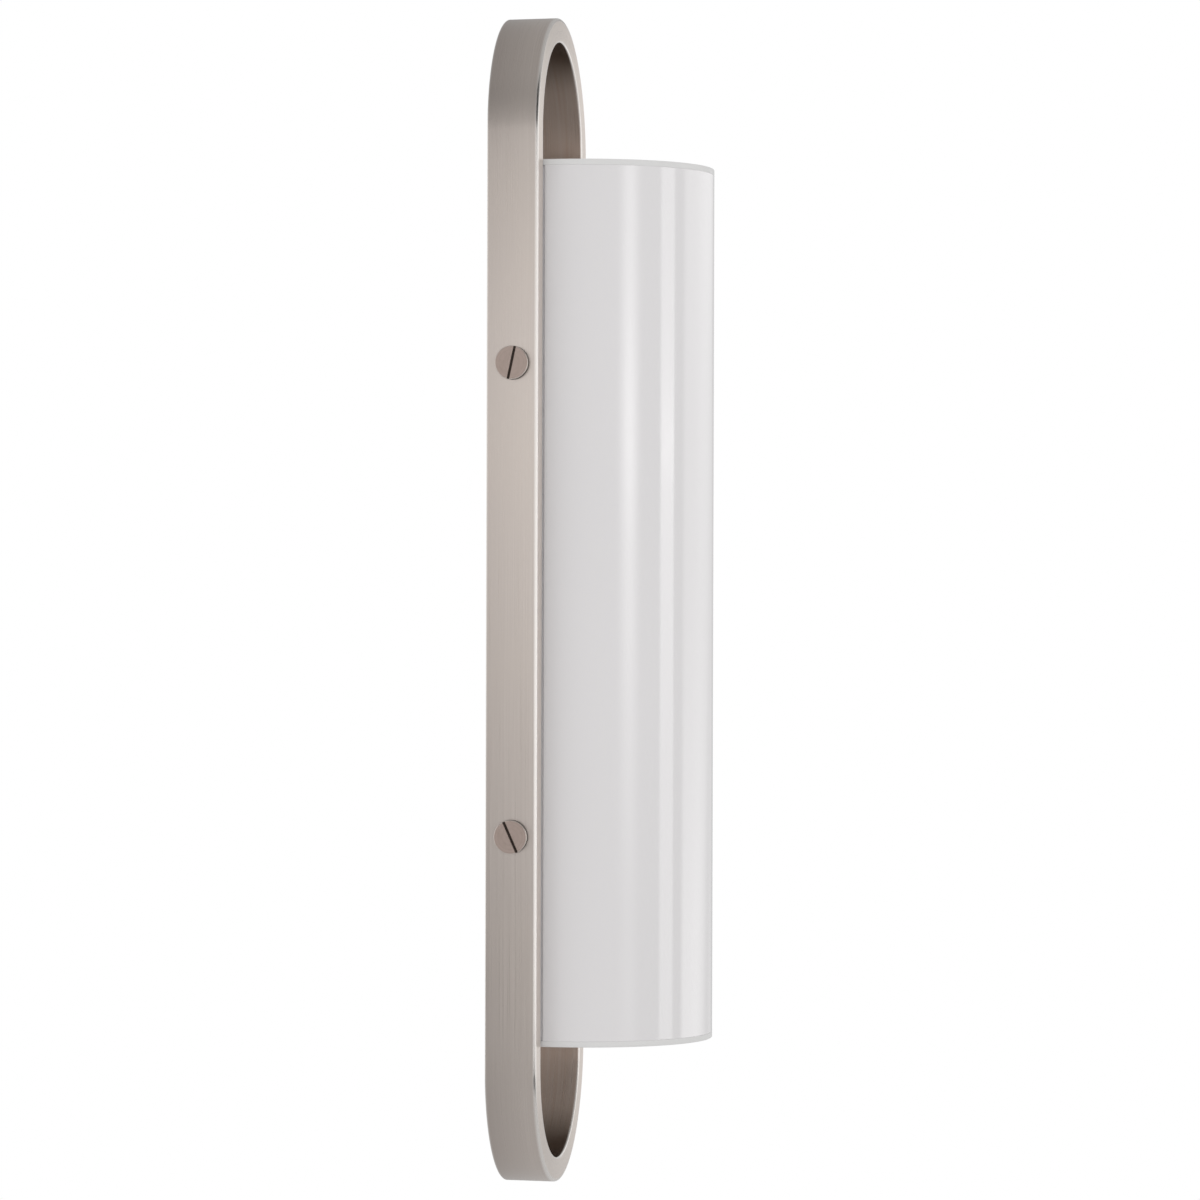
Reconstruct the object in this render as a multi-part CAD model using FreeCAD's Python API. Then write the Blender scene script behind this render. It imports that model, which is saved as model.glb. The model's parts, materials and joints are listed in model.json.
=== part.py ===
import FreeCAD, Part
import math
import os

# A wall light with an oval frame of flat bar and an opal shade that rises out of it.
# The wall is the plane y = 0 and the light stands out of it towards -Y, with Z up.
# Places between the wall and the nose of the shade are written as depths, measured from the wall.

# Oval frame of flat bar
frame_height = 610.0
frame_width = 133.0
frame_depth = 26.5
bar_thickness = 12.7
frame_front_chamfer = 0.9
frame_back_chamfer = 0.6

# Slotted screws through the sides of the frame
frame_screw_spacing = 240.0
frame_screw_from_front = 13.0
frame_screw_diameter = 5.0
frame_screw_past_nut = 1.0
frame_screw_head_diameter = 17.0
frame_screw_head_height = 3.2
frame_screw_slot_width = 1.3
frame_screw_slot_depth = 1.6
# How far each slot is turned from upright, its top towards the room, in degrees
left_upper_slot_turn = 12.0
left_lower_slot_turn = -24.0
right_upper_slot_turn = 35.0
right_lower_slot_turn = -8.0

# Fits
screw_clearance = 0.25
thread_clearance = 0.05
edge_finding_distance = 0.01
cut_overrun = 1.0

# Wall pan, folded from sheet, that the frame slips over
pan_sheet = 1.6
pan_bend_radius = 1.0
pan_behind_shade = 6.5
pan_side_clearance = 0.2
pan_flange_setback = 4.5
pan_end_flange_clearance = 0.3
pan_corner_relief = 3.5
pan_flange_corner_radius = 3.0
wire_opening_diameter = 22.4
box_screw_spacing = 88.9
box_slot_width = 4.8
box_slot_length = 14.0
anchor_screw_inset = 11.0
anchor_slot_width = 5.2
anchor_slot_length = 10.0

# Hexagonal nuts welded inside the side flanges of the pan
frame_nut_flats = 8.0
frame_nut_height = 4.0

# Opal shade: straight sides inside the frame, then half an ellipse
shade_from_frame_end = 78.5
shade_projection = 106.5
shade_side_gap = 2.1
shade_wall = 3.0
shade_straight_side = 6.5
shade_cap_thickness = 3.0
shade_cap_edge_chamfer = 0.4
shade_lip_width = 3.5
shade_lip_thickness = 2.5
shade_end_play = 1.6

# Light tray, a folded hat section with a brim under the lips of the shade
tray_sheet = 1.5
tray_bend_radius = 1.0
tray_crown_to_standoff = 6.0
tray_crown_height = 8.0
tray_brim_setback = 1.0

# Standoffs welded to the pan, and the hexagonal screws that hold the tray on them
standoff_from_flange = 13.0
standoff_inset = 70.0
standoff_flats = 7.0
standoff_bore_depth = 10.0
tray_screw_diameter = 4.0
tray_screw_length = 8.0
tray_screw_head_flats = 7.0
tray_screw_head_height = 2.4

# Spring clips that push through slots in the brim and hook over the lips of the shade
clip_sheet = 0.5
clip_width = 12.0
clip_inset = 30.0
clip_base_length = 7.5
clip_foot_length = 4.0
clip_slot_clearance = 0.25
clip_to_lip = 1.1
clip_over_lip = 0.2
clip_hook_reach = 2.7
clip_hook_rise = 0.65
clip_lead_in_height = 3.9
clip_lead_in_reach = 2.4

# Lamp boards, their heat pads and their chips
heat_pad_thickness = 0.5
board_thickness = 1.6
board_width = 30.0
board_end_margin = 6.9
board_gap = 20.0
chip_width = 3.5
chip_length = 2.8
chip_height = 0.8
chip_count = 16
chip_row_half_spacing = 7.0
chip_end_inset = 19.0
connector_width = 7.0
connector_length = 9.0
connector_height = 4.0
connector_inset = 3.0
connector_side_place = 9.0
connector_mouth = 1.8

# Rubber grommet in the crown of the tray
grommet_bore_diameter = 6.0
grommet_hole_diameter = 9.5
grommet_flange_diameter = 13.0
grommet_flange_thickness = 1.2

# Bushing in the wire opening of the pan
bushing_bore_diameter = 18.0
bushing_flange_diameter = 27.0
bushing_flange_thickness = 1.5
bushing_side_clearance = 0.1

# Driver: a sheet case with ears on the pan, above the wire opening
driver_low_end = 60.0
driver_end_room = 24.0
driver_width = 40.0
driver_front_room = 0.4
driver_sheet = 1.0
driver_ear_length = 7.0
driver_ear_width = 20.0
driver_stud_inset = 3.6
driver_lid_rim = 5.0
driver_lid_clearance = 0.1
driver_boss_height = 3.0
driver_boss_width = 4.0
driver_board_thickness = 1.6
driver_board_margin = 1.5
terminal_width = 16.0
terminal_length = 8.0
terminal_front_room = 1.9
terminal_clearance = 0.1
terminal_hole_width = 2.4
terminal_hole_depth = 5.0
terminal_poles = 3
transformer_width = 20.0
transformer_length = 22.0
transformer_front_room = 0.4
transformer_leg = 4.0
transformer_coil_gap = 1.0
transformer_place_share = 0.45
capacitor_width = 6.0
capacitor_length = 13.0
capacitor_front_room = 0.4
capacitor_spacing = 13.0
capacitor_place_share = 0.24
choke_diameter = 12.0
choke_front_room = 1.4
choke_place_share = 0.74

# Studs welded to the pan, and their nuts
stud_diameter = 3.0
stud_length = 6.0
nut_flats = 5.5
nut_height = 2.4
ground_stud_diameter = 4.0
ground_stud_length = 10.0
ground_nut_flats = 7.0
ground_nut_height = 3.2
ground_side_place = 28.0
ground_drop = 52.0

# Terminal block for the supply, below the wire opening
block_drop = 82.0
block_width = 36.0
block_length = 20.0
block_height = 15.0
block_foot_width = 5.0
block_foot_length = 8.0
block_foot_spacing = 22.0
block_foot_recess = 0.2
block_edge_radius = 1.0
block_pole_spacing = 11.0
block_wire_hole_width = 3.4
block_wire_hole_depth = 7.0
block_wire_hole_share = 0.35
block_lever_width = 5.0
block_lever_length = 6.0
block_lever_depth = 3.0

# Sizes that follow from the driving ones
frame_inner_half = frame_width / 2 - bar_thickness
frame_screw_depth = frame_depth - frame_screw_from_front
pan_half_width = frame_inner_half - pan_side_clearance
pan_inner_half = pan_half_width - pan_sheet
shade_half_width = frame_inner_half - shade_side_gap
shade_inner_half = shade_half_width - shade_wall
shade_lip_edge = shade_inner_half - shade_lip_width
shade_height = frame_height - 2 * shade_from_frame_end
shade_back_depth = frame_depth - shade_straight_side
shade_tube_length = shade_height - 2 * shade_cap_thickness
shade_centre_height = -shade_end_play
tray_length = shade_tube_length - 2 * shade_end_play
tray_brim_front = shade_back_depth
tray_brim_back = tray_brim_front - tray_sheet
tray_crown_front = tray_brim_front + tray_crown_height
pan_length = shade_height - 2 * pan_behind_shade
pan_side_flange = frame_depth - pan_flange_setback
pan_end_flange = tray_brim_back - pan_end_flange_clearance
anchor_screw_spacing = pan_length - 2 * anchor_screw_inset
standoff_side_place = pan_inner_half - standoff_from_flange
standoff_spacing = pan_length - 2 * standoff_inset
tray_crown_half_width = standoff_side_place - tray_crown_to_standoff
clip_spacing = pan_length / 2 - clip_inset
board_length = tray_length / 2 - board_gap / 2 - board_end_margin
board_back = tray_crown_front + heat_pad_thickness
board_front = board_back + board_thickness
driver_length = pan_length / 2 - driver_end_room - driver_low_end
driver_centre = driver_low_end + driver_length / 2
driver_board_back = pan_sheet + driver_sheet + driver_boss_height
driver_board_front = driver_board_back + driver_board_thickness
driver_case_height = tray_brim_back - driver_front_room - driver_sheet - pan_sheet
driver_inner_height = pan_sheet + driver_case_height - driver_board_front
terminal_height = driver_inner_height - terminal_front_room
transformer_height = driver_inner_height - transformer_front_room
capacitor_height = driver_inner_height - capacitor_front_room
choke_height = driver_inner_height - choke_front_room

TO_ROOM = FreeCAD.Vector(0, -1, 0)
UP = FreeCAD.Vector(0, 0, 1)
ACROSS = FreeCAD.Vector(1, 0, 0)


def at(x, depth, z):
    """A point given by its side place, its depth from the wall and its height."""
    return FreeCAD.Vector(x, -depth, z)


def block(x0, x1, depth0, depth1, z0, z1):
    """A box between two side places, two depths and two heights."""
    return Part.makeBox(x1 - x0, depth1 - depth0, z1 - z0, at(x0, depth1, z0))


def rod(diameter, depth0, depth1, x, z):
    """A round rod that runs out of the wall between two depths."""
    return Part.makeCylinder(diameter / 2, depth1 - depth0, at(x, depth0, z), TO_ROOM)


def hexagon(flats, depth0, depth1, x, z):
    """A hexagonal bar that runs out of the wall, with its flats upright."""
    radius = flats / math.sqrt(3)
    corners = []
    for turn in range(0, 361, 60):
        angle = math.radians(turn)
        corners.append(at(x + radius * math.sin(angle), depth0, z + radius * math.cos(angle)))
    face = Part.Face(Part.makePolygon(corners))
    return face.extrude(TO_ROOM * (depth1 - depth0))


def upright_slot(width, length, depth0, depth1, x, z):
    """A slot with round ends that runs upright, as the solid that cuts it."""
    half = (length - width) / 2
    low = rod(width, depth0, depth1, x, z - half)
    high = rod(width, depth0, depth1, x, z + half)
    middle = block(x - width / 2, x + width / 2, depth0, depth1, z - half, z + half)
    return middle.fuse([low, high])


def square_mouth(width, x, depth, z0, z1):
    """A square hole that runs up or down between two heights, as the solid that cuts it."""
    half = width / 2
    return block(x - half, x + half, depth - half, depth + half, min(z0, z1), max(z0, z1))


def fused(shapes):
    """Several touching solids as one solid with no seams."""
    return shapes[0].fuse(shapes[1:]).removeSplitter()


def group(shapes):
    """Separate solids kept side by side in one node."""
    return Part.makeCompound(shapes)


def rounded_outline(points, radii):
    """A closed outline whose corners are arcs, each corner with its own radius."""
    entries = []
    exits = []
    edges = []
    count = len(points)
    for i, corner in enumerate(points):
        back = (points[i - 1] - corner).normalize()
        ahead = (points[(i + 1) % count] - corner).normalize()
        half_angle = back.getAngle(ahead) / 2
        if radii[i] > 0:
            tangent = radii[i] / math.tan(half_angle)
            entry = corner + back * tangent
            leave = corner + ahead * tangent
            bisector = (back + ahead).normalize()
            middle = corner + bisector * (radii[i] / math.sin(half_angle) - radii[i])
            edges.append(Part.Arc(entry, middle, leave).toShape())
        else:
            entry = corner
            leave = corner
        entries.append(entry)
        exits.append(leave)
    for i in range(count):
        edges.append(Part.LineSegment(exits[i], entries[(i + 1) % count]).toShape())
    return Part.Wire(Part.__sortEdges__(edges))


def moved_path(path, distance):
    """An open path with every side moved to its left, met again at the corners."""
    sides = []
    for start, end in zip(path, path[1:]):
        along = (end - start).normalize()
        sides.append(FreeCAD.Vector(-along.y, along.x, 0))
    moved = []
    for i, point in enumerate(path):
        before = sides[max(i - 1, 0)]
        after = sides[min(i, len(sides) - 1)]
        moved.append(point + (before + after) * (distance / (1 + before.dot(after))))
    return moved


def folded_section(path, sheet, bend):
    """The cut face of folded sheet: the path is one face of it, the other lies to its left.

    The inside of each bend has the bend radius, and the outside has that radius and the sheet.
    """
    other = moved_path(path, sheet)
    near_radii = [0]
    far_radii = [0]
    for before, corner, after in zip(path, path[1:], path[2:]):
        turns_left = (corner - before).cross(after - corner).z > 0
        near_radii.append(bend + sheet if turns_left else bend)
        far_radii.append(bend if turns_left else bend + sheet)
    near_radii.append(0)
    far_radii.append(0)
    return Part.Face(rounded_outline(path + other[::-1], near_radii + far_radii[::-1]))


def edges_at(shape, depth):
    """The edges that lie wholly at one depth from the wall."""
    found = []
    for edge in shape.Edges:
        low = abs(edge.BoundBox.YMin + depth) < edge_finding_distance
        high = abs(edge.BoundBox.YMax + depth) < edge_finding_distance
        if low and high:
            found.append(edge)
    return found


def stadium(width, height):
    """The outline of two upright lines joined by half circles, on the wall plane."""
    radius = width / 2
    straight = height / 2 - radius
    left_low = FreeCAD.Vector(-radius, 0, -straight)
    left_high = FreeCAD.Vector(-radius, 0, straight)
    right_high = FreeCAD.Vector(radius, 0, straight)
    right_low = FreeCAD.Vector(radius, 0, -straight)
    crown = Part.Arc(left_high, FreeCAD.Vector(0, 0, height / 2), right_high)
    foot = Part.Arc(right_low, FreeCAD.Vector(0, 0, -height / 2), left_low)
    left = Part.LineSegment(left_low, left_high)
    right = Part.LineSegment(right_high, right_low)
    return Part.Wire([left.toShape(), crown.toShape(), right.toShape(), foot.toShape()])


def frame_screw_places():
    """Side, height and slot turn of each screw in the frame."""
    half = frame_screw_spacing / 2
    return [
        (-1, half, left_upper_slot_turn),
        (-1, -half, left_lower_slot_turn),
        (1, half, right_upper_slot_turn),
        (1, -half, right_lower_slot_turn),
    ]


def side_rod(diameter, side, x0, x1, z):
    """A round rod across the light at the depth of the frame screws, on one side."""
    start = at(side * x0, frame_screw_depth, z)
    return Part.makeCylinder(diameter / 2, x1 - x0, start, ACROSS * side)


def side_hexagon(flats, side, x0, x1, z):
    """A hexagonal bar across the light at the depth of the frame screws, on one side."""
    bar = hexagon(flats, x0, x1, 0, 0)
    bar.rotate(FreeCAD.Vector(0, 0, 0), UP, 90 * side)
    bar.translate(at(0, frame_screw_depth, z))
    return bar


def make_frame_ring():
    """The bar bent into a closed oval: eased edges, and four plain holes for the screws."""
    outer = Part.Face(stadium(frame_width, frame_height))
    inner = Part.Face(stadium(frame_width - 2 * bar_thickness, frame_height - 2 * bar_thickness))
    ring = outer.cut(inner).extrude(TO_ROOM * frame_depth)
    ring = ring.makeChamfer(frame_front_chamfer, edges_at(ring, frame_depth))
    ring = ring.makeChamfer(frame_back_chamfer, edges_at(ring, 0))
    for side, z, _ in frame_screw_places():
        hole = frame_screw_diameter + 2 * screw_clearance
        x0 = frame_inner_half - cut_overrun
        x1 = frame_width / 2 + cut_overrun
        ring = ring.cut(side_rod(hole, side, x0, x1, z))
    return ring


def make_frame_screws():
    """Cheese-head screws: a low round head with one straight slot, and a plain shank."""
    screws = []
    half_frame = frame_width / 2
    for side, z, turn in frame_screw_places():
        centre = at(side * half_frame, frame_screw_depth, z)
        outward = ACROSS * side
        head = Part.makeCylinder(
            frame_screw_head_diameter / 2, frame_screw_head_height, centre, outward
        )
        outer_face = half_frame + frame_screw_head_height
        tip = pan_inner_half - frame_nut_height - frame_screw_past_nut
        shank = side_rod(frame_screw_diameter, side, tip, half_frame + cut_overrun, z)
        slot = Part.makeBox(
            2 * frame_screw_slot_depth,
            frame_screw_slot_width,
            frame_screw_head_diameter + 2 * cut_overrun,
            FreeCAD.Vector(
                -frame_screw_slot_depth,
                -frame_screw_slot_width / 2,
                -frame_screw_head_diameter / 2 - cut_overrun,
            ),
        )
        slot.rotate(FreeCAD.Vector(0, 0, 0), ACROSS, turn)
        slot.translate(at(side * outer_face, frame_screw_depth, z))
        screws.append(head.fuse(shank).cut(slot))
    return group(screws)


def stud_places():
    """Height of each stud of the driver, one under each ear."""
    low = driver_low_end - driver_stud_inset
    high = driver_low_end + driver_length + driver_stud_inset
    return [low, high]


def standoff_places():
    """Side place and height of each standoff, in two rows."""
    places = []
    for side in (-1, 1):
        for way in (-1, 1):
            places.append((side * standoff_side_place, way * standoff_spacing / 2))
    return places


def block_feet(clearance, depth0, depth1):
    """The two snap feet of the terminal block, or their holes with a clearance all round."""
    half_width = block_foot_width / 2 + clearance
    half_length = block_foot_length / 2 + clearance
    feet = []
    for side in (-1, 1):
        x = side * block_foot_spacing / 2
        low = -block_drop - half_length
        high = -block_drop + half_length
        feet.append(block(x - half_width, x + half_width, depth0, depth1, low, high))
    return feet


def channel(half_width, flange, length):
    """A folded channel, lying with its web on the wall and its flanges towards the room."""
    path = [
        at(half_width, flange, 0),
        at(half_width, 0, 0),
        at(-half_width, 0, 0),
        at(-half_width, flange, 0),
    ]
    section = folded_section(path, pan_sheet, pan_bend_radius)
    section.translate(UP * (-length / 2))
    return section.extrude(UP * length)


def make_wall_pan():
    """A shallow pan of two crossed channels, open at its corners, with all its holes."""
    relief = 2 * pan_corner_relief
    sides = channel(pan_half_width, pan_side_flange, pan_length - relief)
    ends = channel(pan_length / 2, pan_end_flange, 2 * pan_half_width - relief)
    ends.rotate(FreeCAD.Vector(0, 0, 0), FreeCAD.Vector(0, 1, 0), 90)
    corners = []
    for edge in sides.Edges:
        box = edge.BoundBox
        across = box.XLength > pan_sheet / 2 and box.XLength < 2 * pan_sheet
        flat = box.YLength < edge_finding_distance and box.ZLength < edge_finding_distance
        if across and flat and abs(box.YMin + pan_side_flange) < edge_finding_distance:
            corners.append(edge)
    sides = sides.makeFillet(pan_flange_corner_radius, corners)
    pan = fused([sides, ends])
    back = -cut_overrun
    front = pan_sheet + cut_overrun
    cuts = [rod(wire_opening_diameter, back, front, 0, 0)]
    for way in (-1, 1):
        box_z = way * box_screw_spacing / 2
        cuts.append(upright_slot(box_slot_width, box_slot_length, back, front, 0, box_z))
        anchor_z = way * anchor_screw_spacing / 2
        cuts.append(upright_slot(anchor_slot_width, anchor_slot_length, back, front, 0, anchor_z))
    cuts.extend(block_feet(screw_clearance, back, front))
    for side, z, _ in frame_screw_places():
        hole = frame_screw_diameter + 2 * screw_clearance
        x0 = pan_inner_half - cut_overrun
        x1 = pan_half_width + cut_overrun
        cuts.append(side_rod(hole, side, x0, x1, z))
    return pan.cut(cuts)


def make_frame_nuts():
    """Hexagonal nuts welded inside the side flanges, one for each frame screw."""
    nuts = []
    for side, z, _ in frame_screw_places():
        x0 = pan_inner_half - frame_nut_height
        body = side_hexagon(frame_nut_flats, side, x0, pan_inner_half, z)
        bore = frame_screw_diameter + 2 * thread_clearance
        thread = side_rod(bore, side, x0 - cut_overrun, pan_inner_half + cut_overrun, z)
        nuts.append(body.cut(thread))
    return group(nuts)


def make_tray_standoffs():
    """Hexagonal posts welded to the pan, with a threaded bore at the front."""
    posts = []
    for x, z in standoff_places():
        post = hexagon(standoff_flats, pan_sheet, tray_brim_back, x, z)
        bore_end = tray_brim_back - standoff_bore_depth
        bore_size = tray_screw_diameter + 2 * thread_clearance
        posts.append(post.cut(rod(bore_size, bore_end, tray_brim_back + cut_overrun, x, z)))
    return group(posts)


def make_tray_screws():
    """A screw with a hexagonal head through the brim of the tray into each standoff."""
    screws = []
    for x, z in standoff_places():
        head_front = tray_brim_front + tray_screw_head_height
        head = hexagon(tray_screw_head_flats, tray_brim_front, head_front, x, z)
        shank_end = tray_brim_front - tray_screw_length
        screws.append(head.fuse(rod(tray_screw_diameter, shank_end, tray_brim_front, x, z)))
    return group(screws)


def clip_places():
    """Side and height of each spring clip, three along each lip of the shade."""
    places = []
    for side in (-1, 1):
        for step in (-1, 0, 1):
            places.append((side, step * clip_spacing))
    return places


def clip_fold_place():
    """How far from the middle of the light each clip turns down into its slot."""
    return shade_lip_edge - clip_to_lip - clip_base_length


def make_led_tray():
    """A folded hat section: a flat crown for the boards and a brim on the standoffs."""
    brim_edge = shade_half_width - tray_brim_setback
    path = [
        at(-brim_edge, tray_brim_front, 0),
        at(-tray_crown_half_width, tray_brim_front, 0),
        at(-tray_crown_half_width, tray_crown_front, 0),
        at(tray_crown_half_width, tray_crown_front, 0),
        at(tray_crown_half_width, tray_brim_front, 0),
        at(brim_edge, tray_brim_front, 0),
    ]
    section = folded_section(path, tray_sheet, tray_bend_radius)
    section.translate(UP * (-tray_length / 2))
    tray = section.extrude(UP * tray_length)
    back = tray_brim_back - cut_overrun
    front = tray_crown_front + cut_overrun
    cuts = [rod(grommet_hole_diameter, back, front, 0, 0)]
    for x, z in standoff_places():
        cuts.append(rod(tray_screw_diameter + 2 * screw_clearance, back, front, x, z))
    for side, z in clip_places():
        half = clip_width / 2 + clip_slot_clearance
        inner = side * (clip_fold_place() - clip_slot_clearance)
        outer = side * (clip_fold_place() + clip_sheet + clip_slot_clearance)
        low = min(inner, outer)
        high = max(inner, outer)
        cuts.append(block(low, high, back, front, z - half, z + half))
    return tray.cut(cuts)


def shade_side_edges(half_width, nose_depth):
    """Half an ellipse from one side of the shade round its nose to the other."""
    centre = at(0, frame_depth, 0)
    nose = at(0, nose_depth, 0)
    side = at(half_width, frame_depth, 0)
    ellipse = Part.Ellipse(nose, side, centre)
    return Part.ArcOfEllipse(ellipse, -math.pi / 2, math.pi / 2).toShape()


def make_shade():
    """The opal body: an extruded shell with straight sides, an elliptical nose and two lips."""
    lip_front = shade_back_depth + shade_lip_thickness
    edges = [
        shade_side_edges(shade_half_width, shade_projection),
        shade_side_edges(shade_inner_half, shade_projection - shade_wall),
    ]
    for side in (-1, 1):
        corners = [
            at(side * shade_half_width, frame_depth, 0),
            at(side * shade_half_width, shade_back_depth, 0),
            at(side * shade_lip_edge, shade_back_depth, 0),
            at(side * shade_lip_edge, lip_front, 0),
            at(side * shade_inner_half, lip_front, 0),
            at(side * shade_inner_half, frame_depth, 0),
        ]
        for start, end in zip(corners, corners[1:]):
            edges.append(Part.LineSegment(start, end).toShape())
    section = Part.Face(Part.Wire(Part.__sortEdges__(edges)))
    section.translate(UP * (shade_centre_height - shade_tube_length / 2))
    return section.extrude(UP * shade_tube_length)


def make_shade_cap(way):
    """A flat plate with the outline of the shade, bonded to one end, its edge bevelled."""
    back_left = at(-shade_half_width, shade_back_depth, 0)
    back_right = at(shade_half_width, shade_back_depth, 0)
    front_left = at(-shade_half_width, frame_depth, 0)
    front_right = at(shade_half_width, frame_depth, 0)
    edges = [
        shade_side_edges(shade_half_width, shade_projection),
        Part.LineSegment(front_left, back_left).toShape(),
        Part.LineSegment(back_left, back_right).toShape(),
        Part.LineSegment(back_right, front_right).toShape(),
    ]
    cap = Part.Face(Part.Wire(Part.__sortEdges__(edges)))
    inner = shade_centre_height + way * shade_tube_length / 2
    cap.translate(UP * inner)
    cap = cap.extrude(UP * way * shade_cap_thickness)
    outer = inner + way * shade_cap_thickness
    rim = []
    for edge in cap.Edges:
        low = abs(edge.BoundBox.ZMin - outer) < edge_finding_distance
        high = abs(edge.BoundBox.ZMax - outer) < edge_finding_distance
        if low and high:
            rim.append(edge)
    return cap.makeChamfer(shade_cap_edge_chamfer, rim)


def make_shade_clips():
    """Tightly folded spring strips: lead-in, hook over the lip, riser, base, and a gripping foot."""
    fold = clip_fold_place()
    riser = shade_lip_edge - clip_to_lip
    lip_front = shade_back_depth + shade_lip_thickness
    hook_back = lip_front + clip_over_lip
    hook = hook_back + clip_hook_rise
    # The path is the face of the strip that looks at the shade, the lip and the brim.
    path = [
        at(riser + clip_hook_reach - clip_lead_in_reach, hook + clip_lead_in_height, 0),
        at(riser + clip_hook_reach, hook, 0),
        at(riser, hook_back, 0),
        at(riser, tray_brim_front, 0),
        at(fold + clip_sheet, tray_brim_front, 0),
        at(fold + clip_sheet, tray_brim_back, 0),
        at(fold + clip_foot_length, tray_brim_back, 0),
    ]
    outline = path + moved_path(path, clip_sheet)[::-1]
    section = Part.Face(Part.makePolygon(outline + outline[:1]))
    clips = []
    for side, z in clip_places():
        strip = section.extrude(UP * clip_width)
        strip.translate(UP * (z - clip_width / 2))
        if side < 0:
            strip = strip.mirror(FreeCAD.Vector(0, 0, 0), ACROSS)
        clips.append(strip)
    return group(clips)


def board_plate(way, back, thickness):
    """A flat plate on the crown of the tray, above or below its middle."""
    near = board_gap / 2
    far = near + board_length
    low = near if way > 0 else -far
    high = far if way > 0 else -near
    return block(-board_width / 2, board_width / 2, back, back + thickness, low, high)


def make_led_chips():
    """Lamp chips in two staggered rows along both boards."""
    chips = []
    start = board_gap / 2 + chip_end_inset
    run = board_length - 2 * chip_end_inset
    for way in (-1, 1):
        for i in range(chip_count):
            z = way * (start + run * i / (chip_count - 1))
            x = chip_row_half_spacing * (1 if i % 2 else -1)
            chips.append(
                block(
                    x - chip_width / 2,
                    x + chip_width / 2,
                    board_front,
                    board_front + chip_height,
                    z - chip_length / 2,
                    z + chip_length / 2,
                )
            )
    return group(chips)


def make_board_connectors():
    """A push-in connector at the inner end of each board, its mouths towards the grommet."""
    connectors = []
    for way in (-1, 1):
        near = board_gap / 2 + connector_inset
        far = near + connector_length
        low = min(way * near, way * far)
        high = max(way * near, way * far)
        x0 = connector_side_place - connector_width / 2
        x1 = connector_side_place + connector_width / 2
        top = board_front + connector_height
        body = block(x0, x1, board_front, top, low, high)
        start = way * (near - cut_overrun)
        end = way * (near + connector_length / 2)
        for part in (-1, 1):
            x = connector_side_place + part * connector_width / 4
            middle = board_front + connector_height / 2
            body = body.cut(square_mouth(connector_mouth, x, middle, start, end))
        connectors.append(body)
    return group(connectors)


def make_tray_grommet():
    """A rubber ring pushed into the crown from the front, with a flange over its edge."""
    sheet_back = tray_crown_front - tray_sheet
    front = tray_crown_front + grommet_flange_thickness
    waist = rod(grommet_hole_diameter, sheet_back, tray_crown_front, 0, 0)
    flange = rod(grommet_flange_diameter, tray_crown_front, front, 0, 0)
    bore = rod(grommet_bore_diameter, sheet_back - cut_overrun, front + cut_overrun, 0, 0)
    return fused([waist, flange]).cut(bore)


def make_wire_bushing():
    """A smooth plastic ring that lines the wire opening, its flange inside the pan."""
    body = wire_opening_diameter - 2 * bushing_side_clearance
    waist = rod(body, 0, pan_sheet, 0, 0)
    flange_front = pan_sheet + bushing_flange_thickness
    flange = rod(bushing_flange_diameter, pan_sheet, flange_front, 0, 0)
    bore = rod(bushing_bore_diameter, -cut_overrun, flange_front + cut_overrun, 0, 0)
    return fused([waist, flange]).cut(bore)


def make_base_studs():
    """Small studs welded to the pan, one for each ear of the driver."""
    top = pan_sheet + stud_length
    return group([rod(stud_diameter, pan_sheet, top, 0, z) for z in stud_places()])


def nut(flats, height, thread, seat, x, z):
    """A hexagonal nut whose back face sits at the seat depth."""
    body = hexagon(flats, seat, seat + height, x, z)
    bore = thread + 2 * thread_clearance
    return body.cut(rod(bore, seat - cut_overrun, seat + height + cut_overrun, x, z))


def make_base_nuts():
    """The nuts on the ears of the driver."""
    seat = pan_sheet + driver_sheet
    return group([nut(nut_flats, nut_height, stud_diameter, seat, 0, z) for z in stud_places()])


def make_ground_stud():
    """The stud that takes the ground leads."""
    top = pan_sheet + ground_stud_length
    return rod(ground_stud_diameter, pan_sheet, top, ground_side_place, -ground_drop)


def make_ground_nut():
    """The nut that clamps the ground leads."""
    return nut(
        ground_nut_flats,
        ground_nut_height,
        ground_stud_diameter,
        pan_sheet,
        ground_side_place,
        -ground_drop,
    )


def make_terminal_block():
    """A three-pole block on snap feet: wire mouths above and below, a lever well at each pole."""
    half = block_width / 2
    low = -block_drop - block_length / 2
    high = -block_drop + block_length / 2
    back = pan_sheet
    front = back + block_height
    body = block(-half, half, back, front, low, high)
    body = body.makeFillet(block_edge_radius, edges_at(body, front))
    body = body.fuse(block_feet(0, block_foot_recess, back))
    cuts = []
    wire_depth = back + block_height * block_wire_hole_share
    for pole in (-1, 0, 1):
        x = pole * block_pole_spacing
        for way in (-1, 1):
            start = -block_drop + way * (block_length / 2 + cut_overrun)
            end = -block_drop + way * (block_length / 2 - block_wire_hole_depth)
            cuts.append(square_mouth(block_wire_hole_width, x, wire_depth, start, end))
        cuts.append(
            block(
                x - block_lever_width / 2,
                x + block_lever_width / 2,
                front - block_lever_depth,
                front + cut_overrun,
                -block_drop - block_lever_length / 2,
                -block_drop + block_lever_length / 2,
            )
        )
    return body.cut(cuts)


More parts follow.
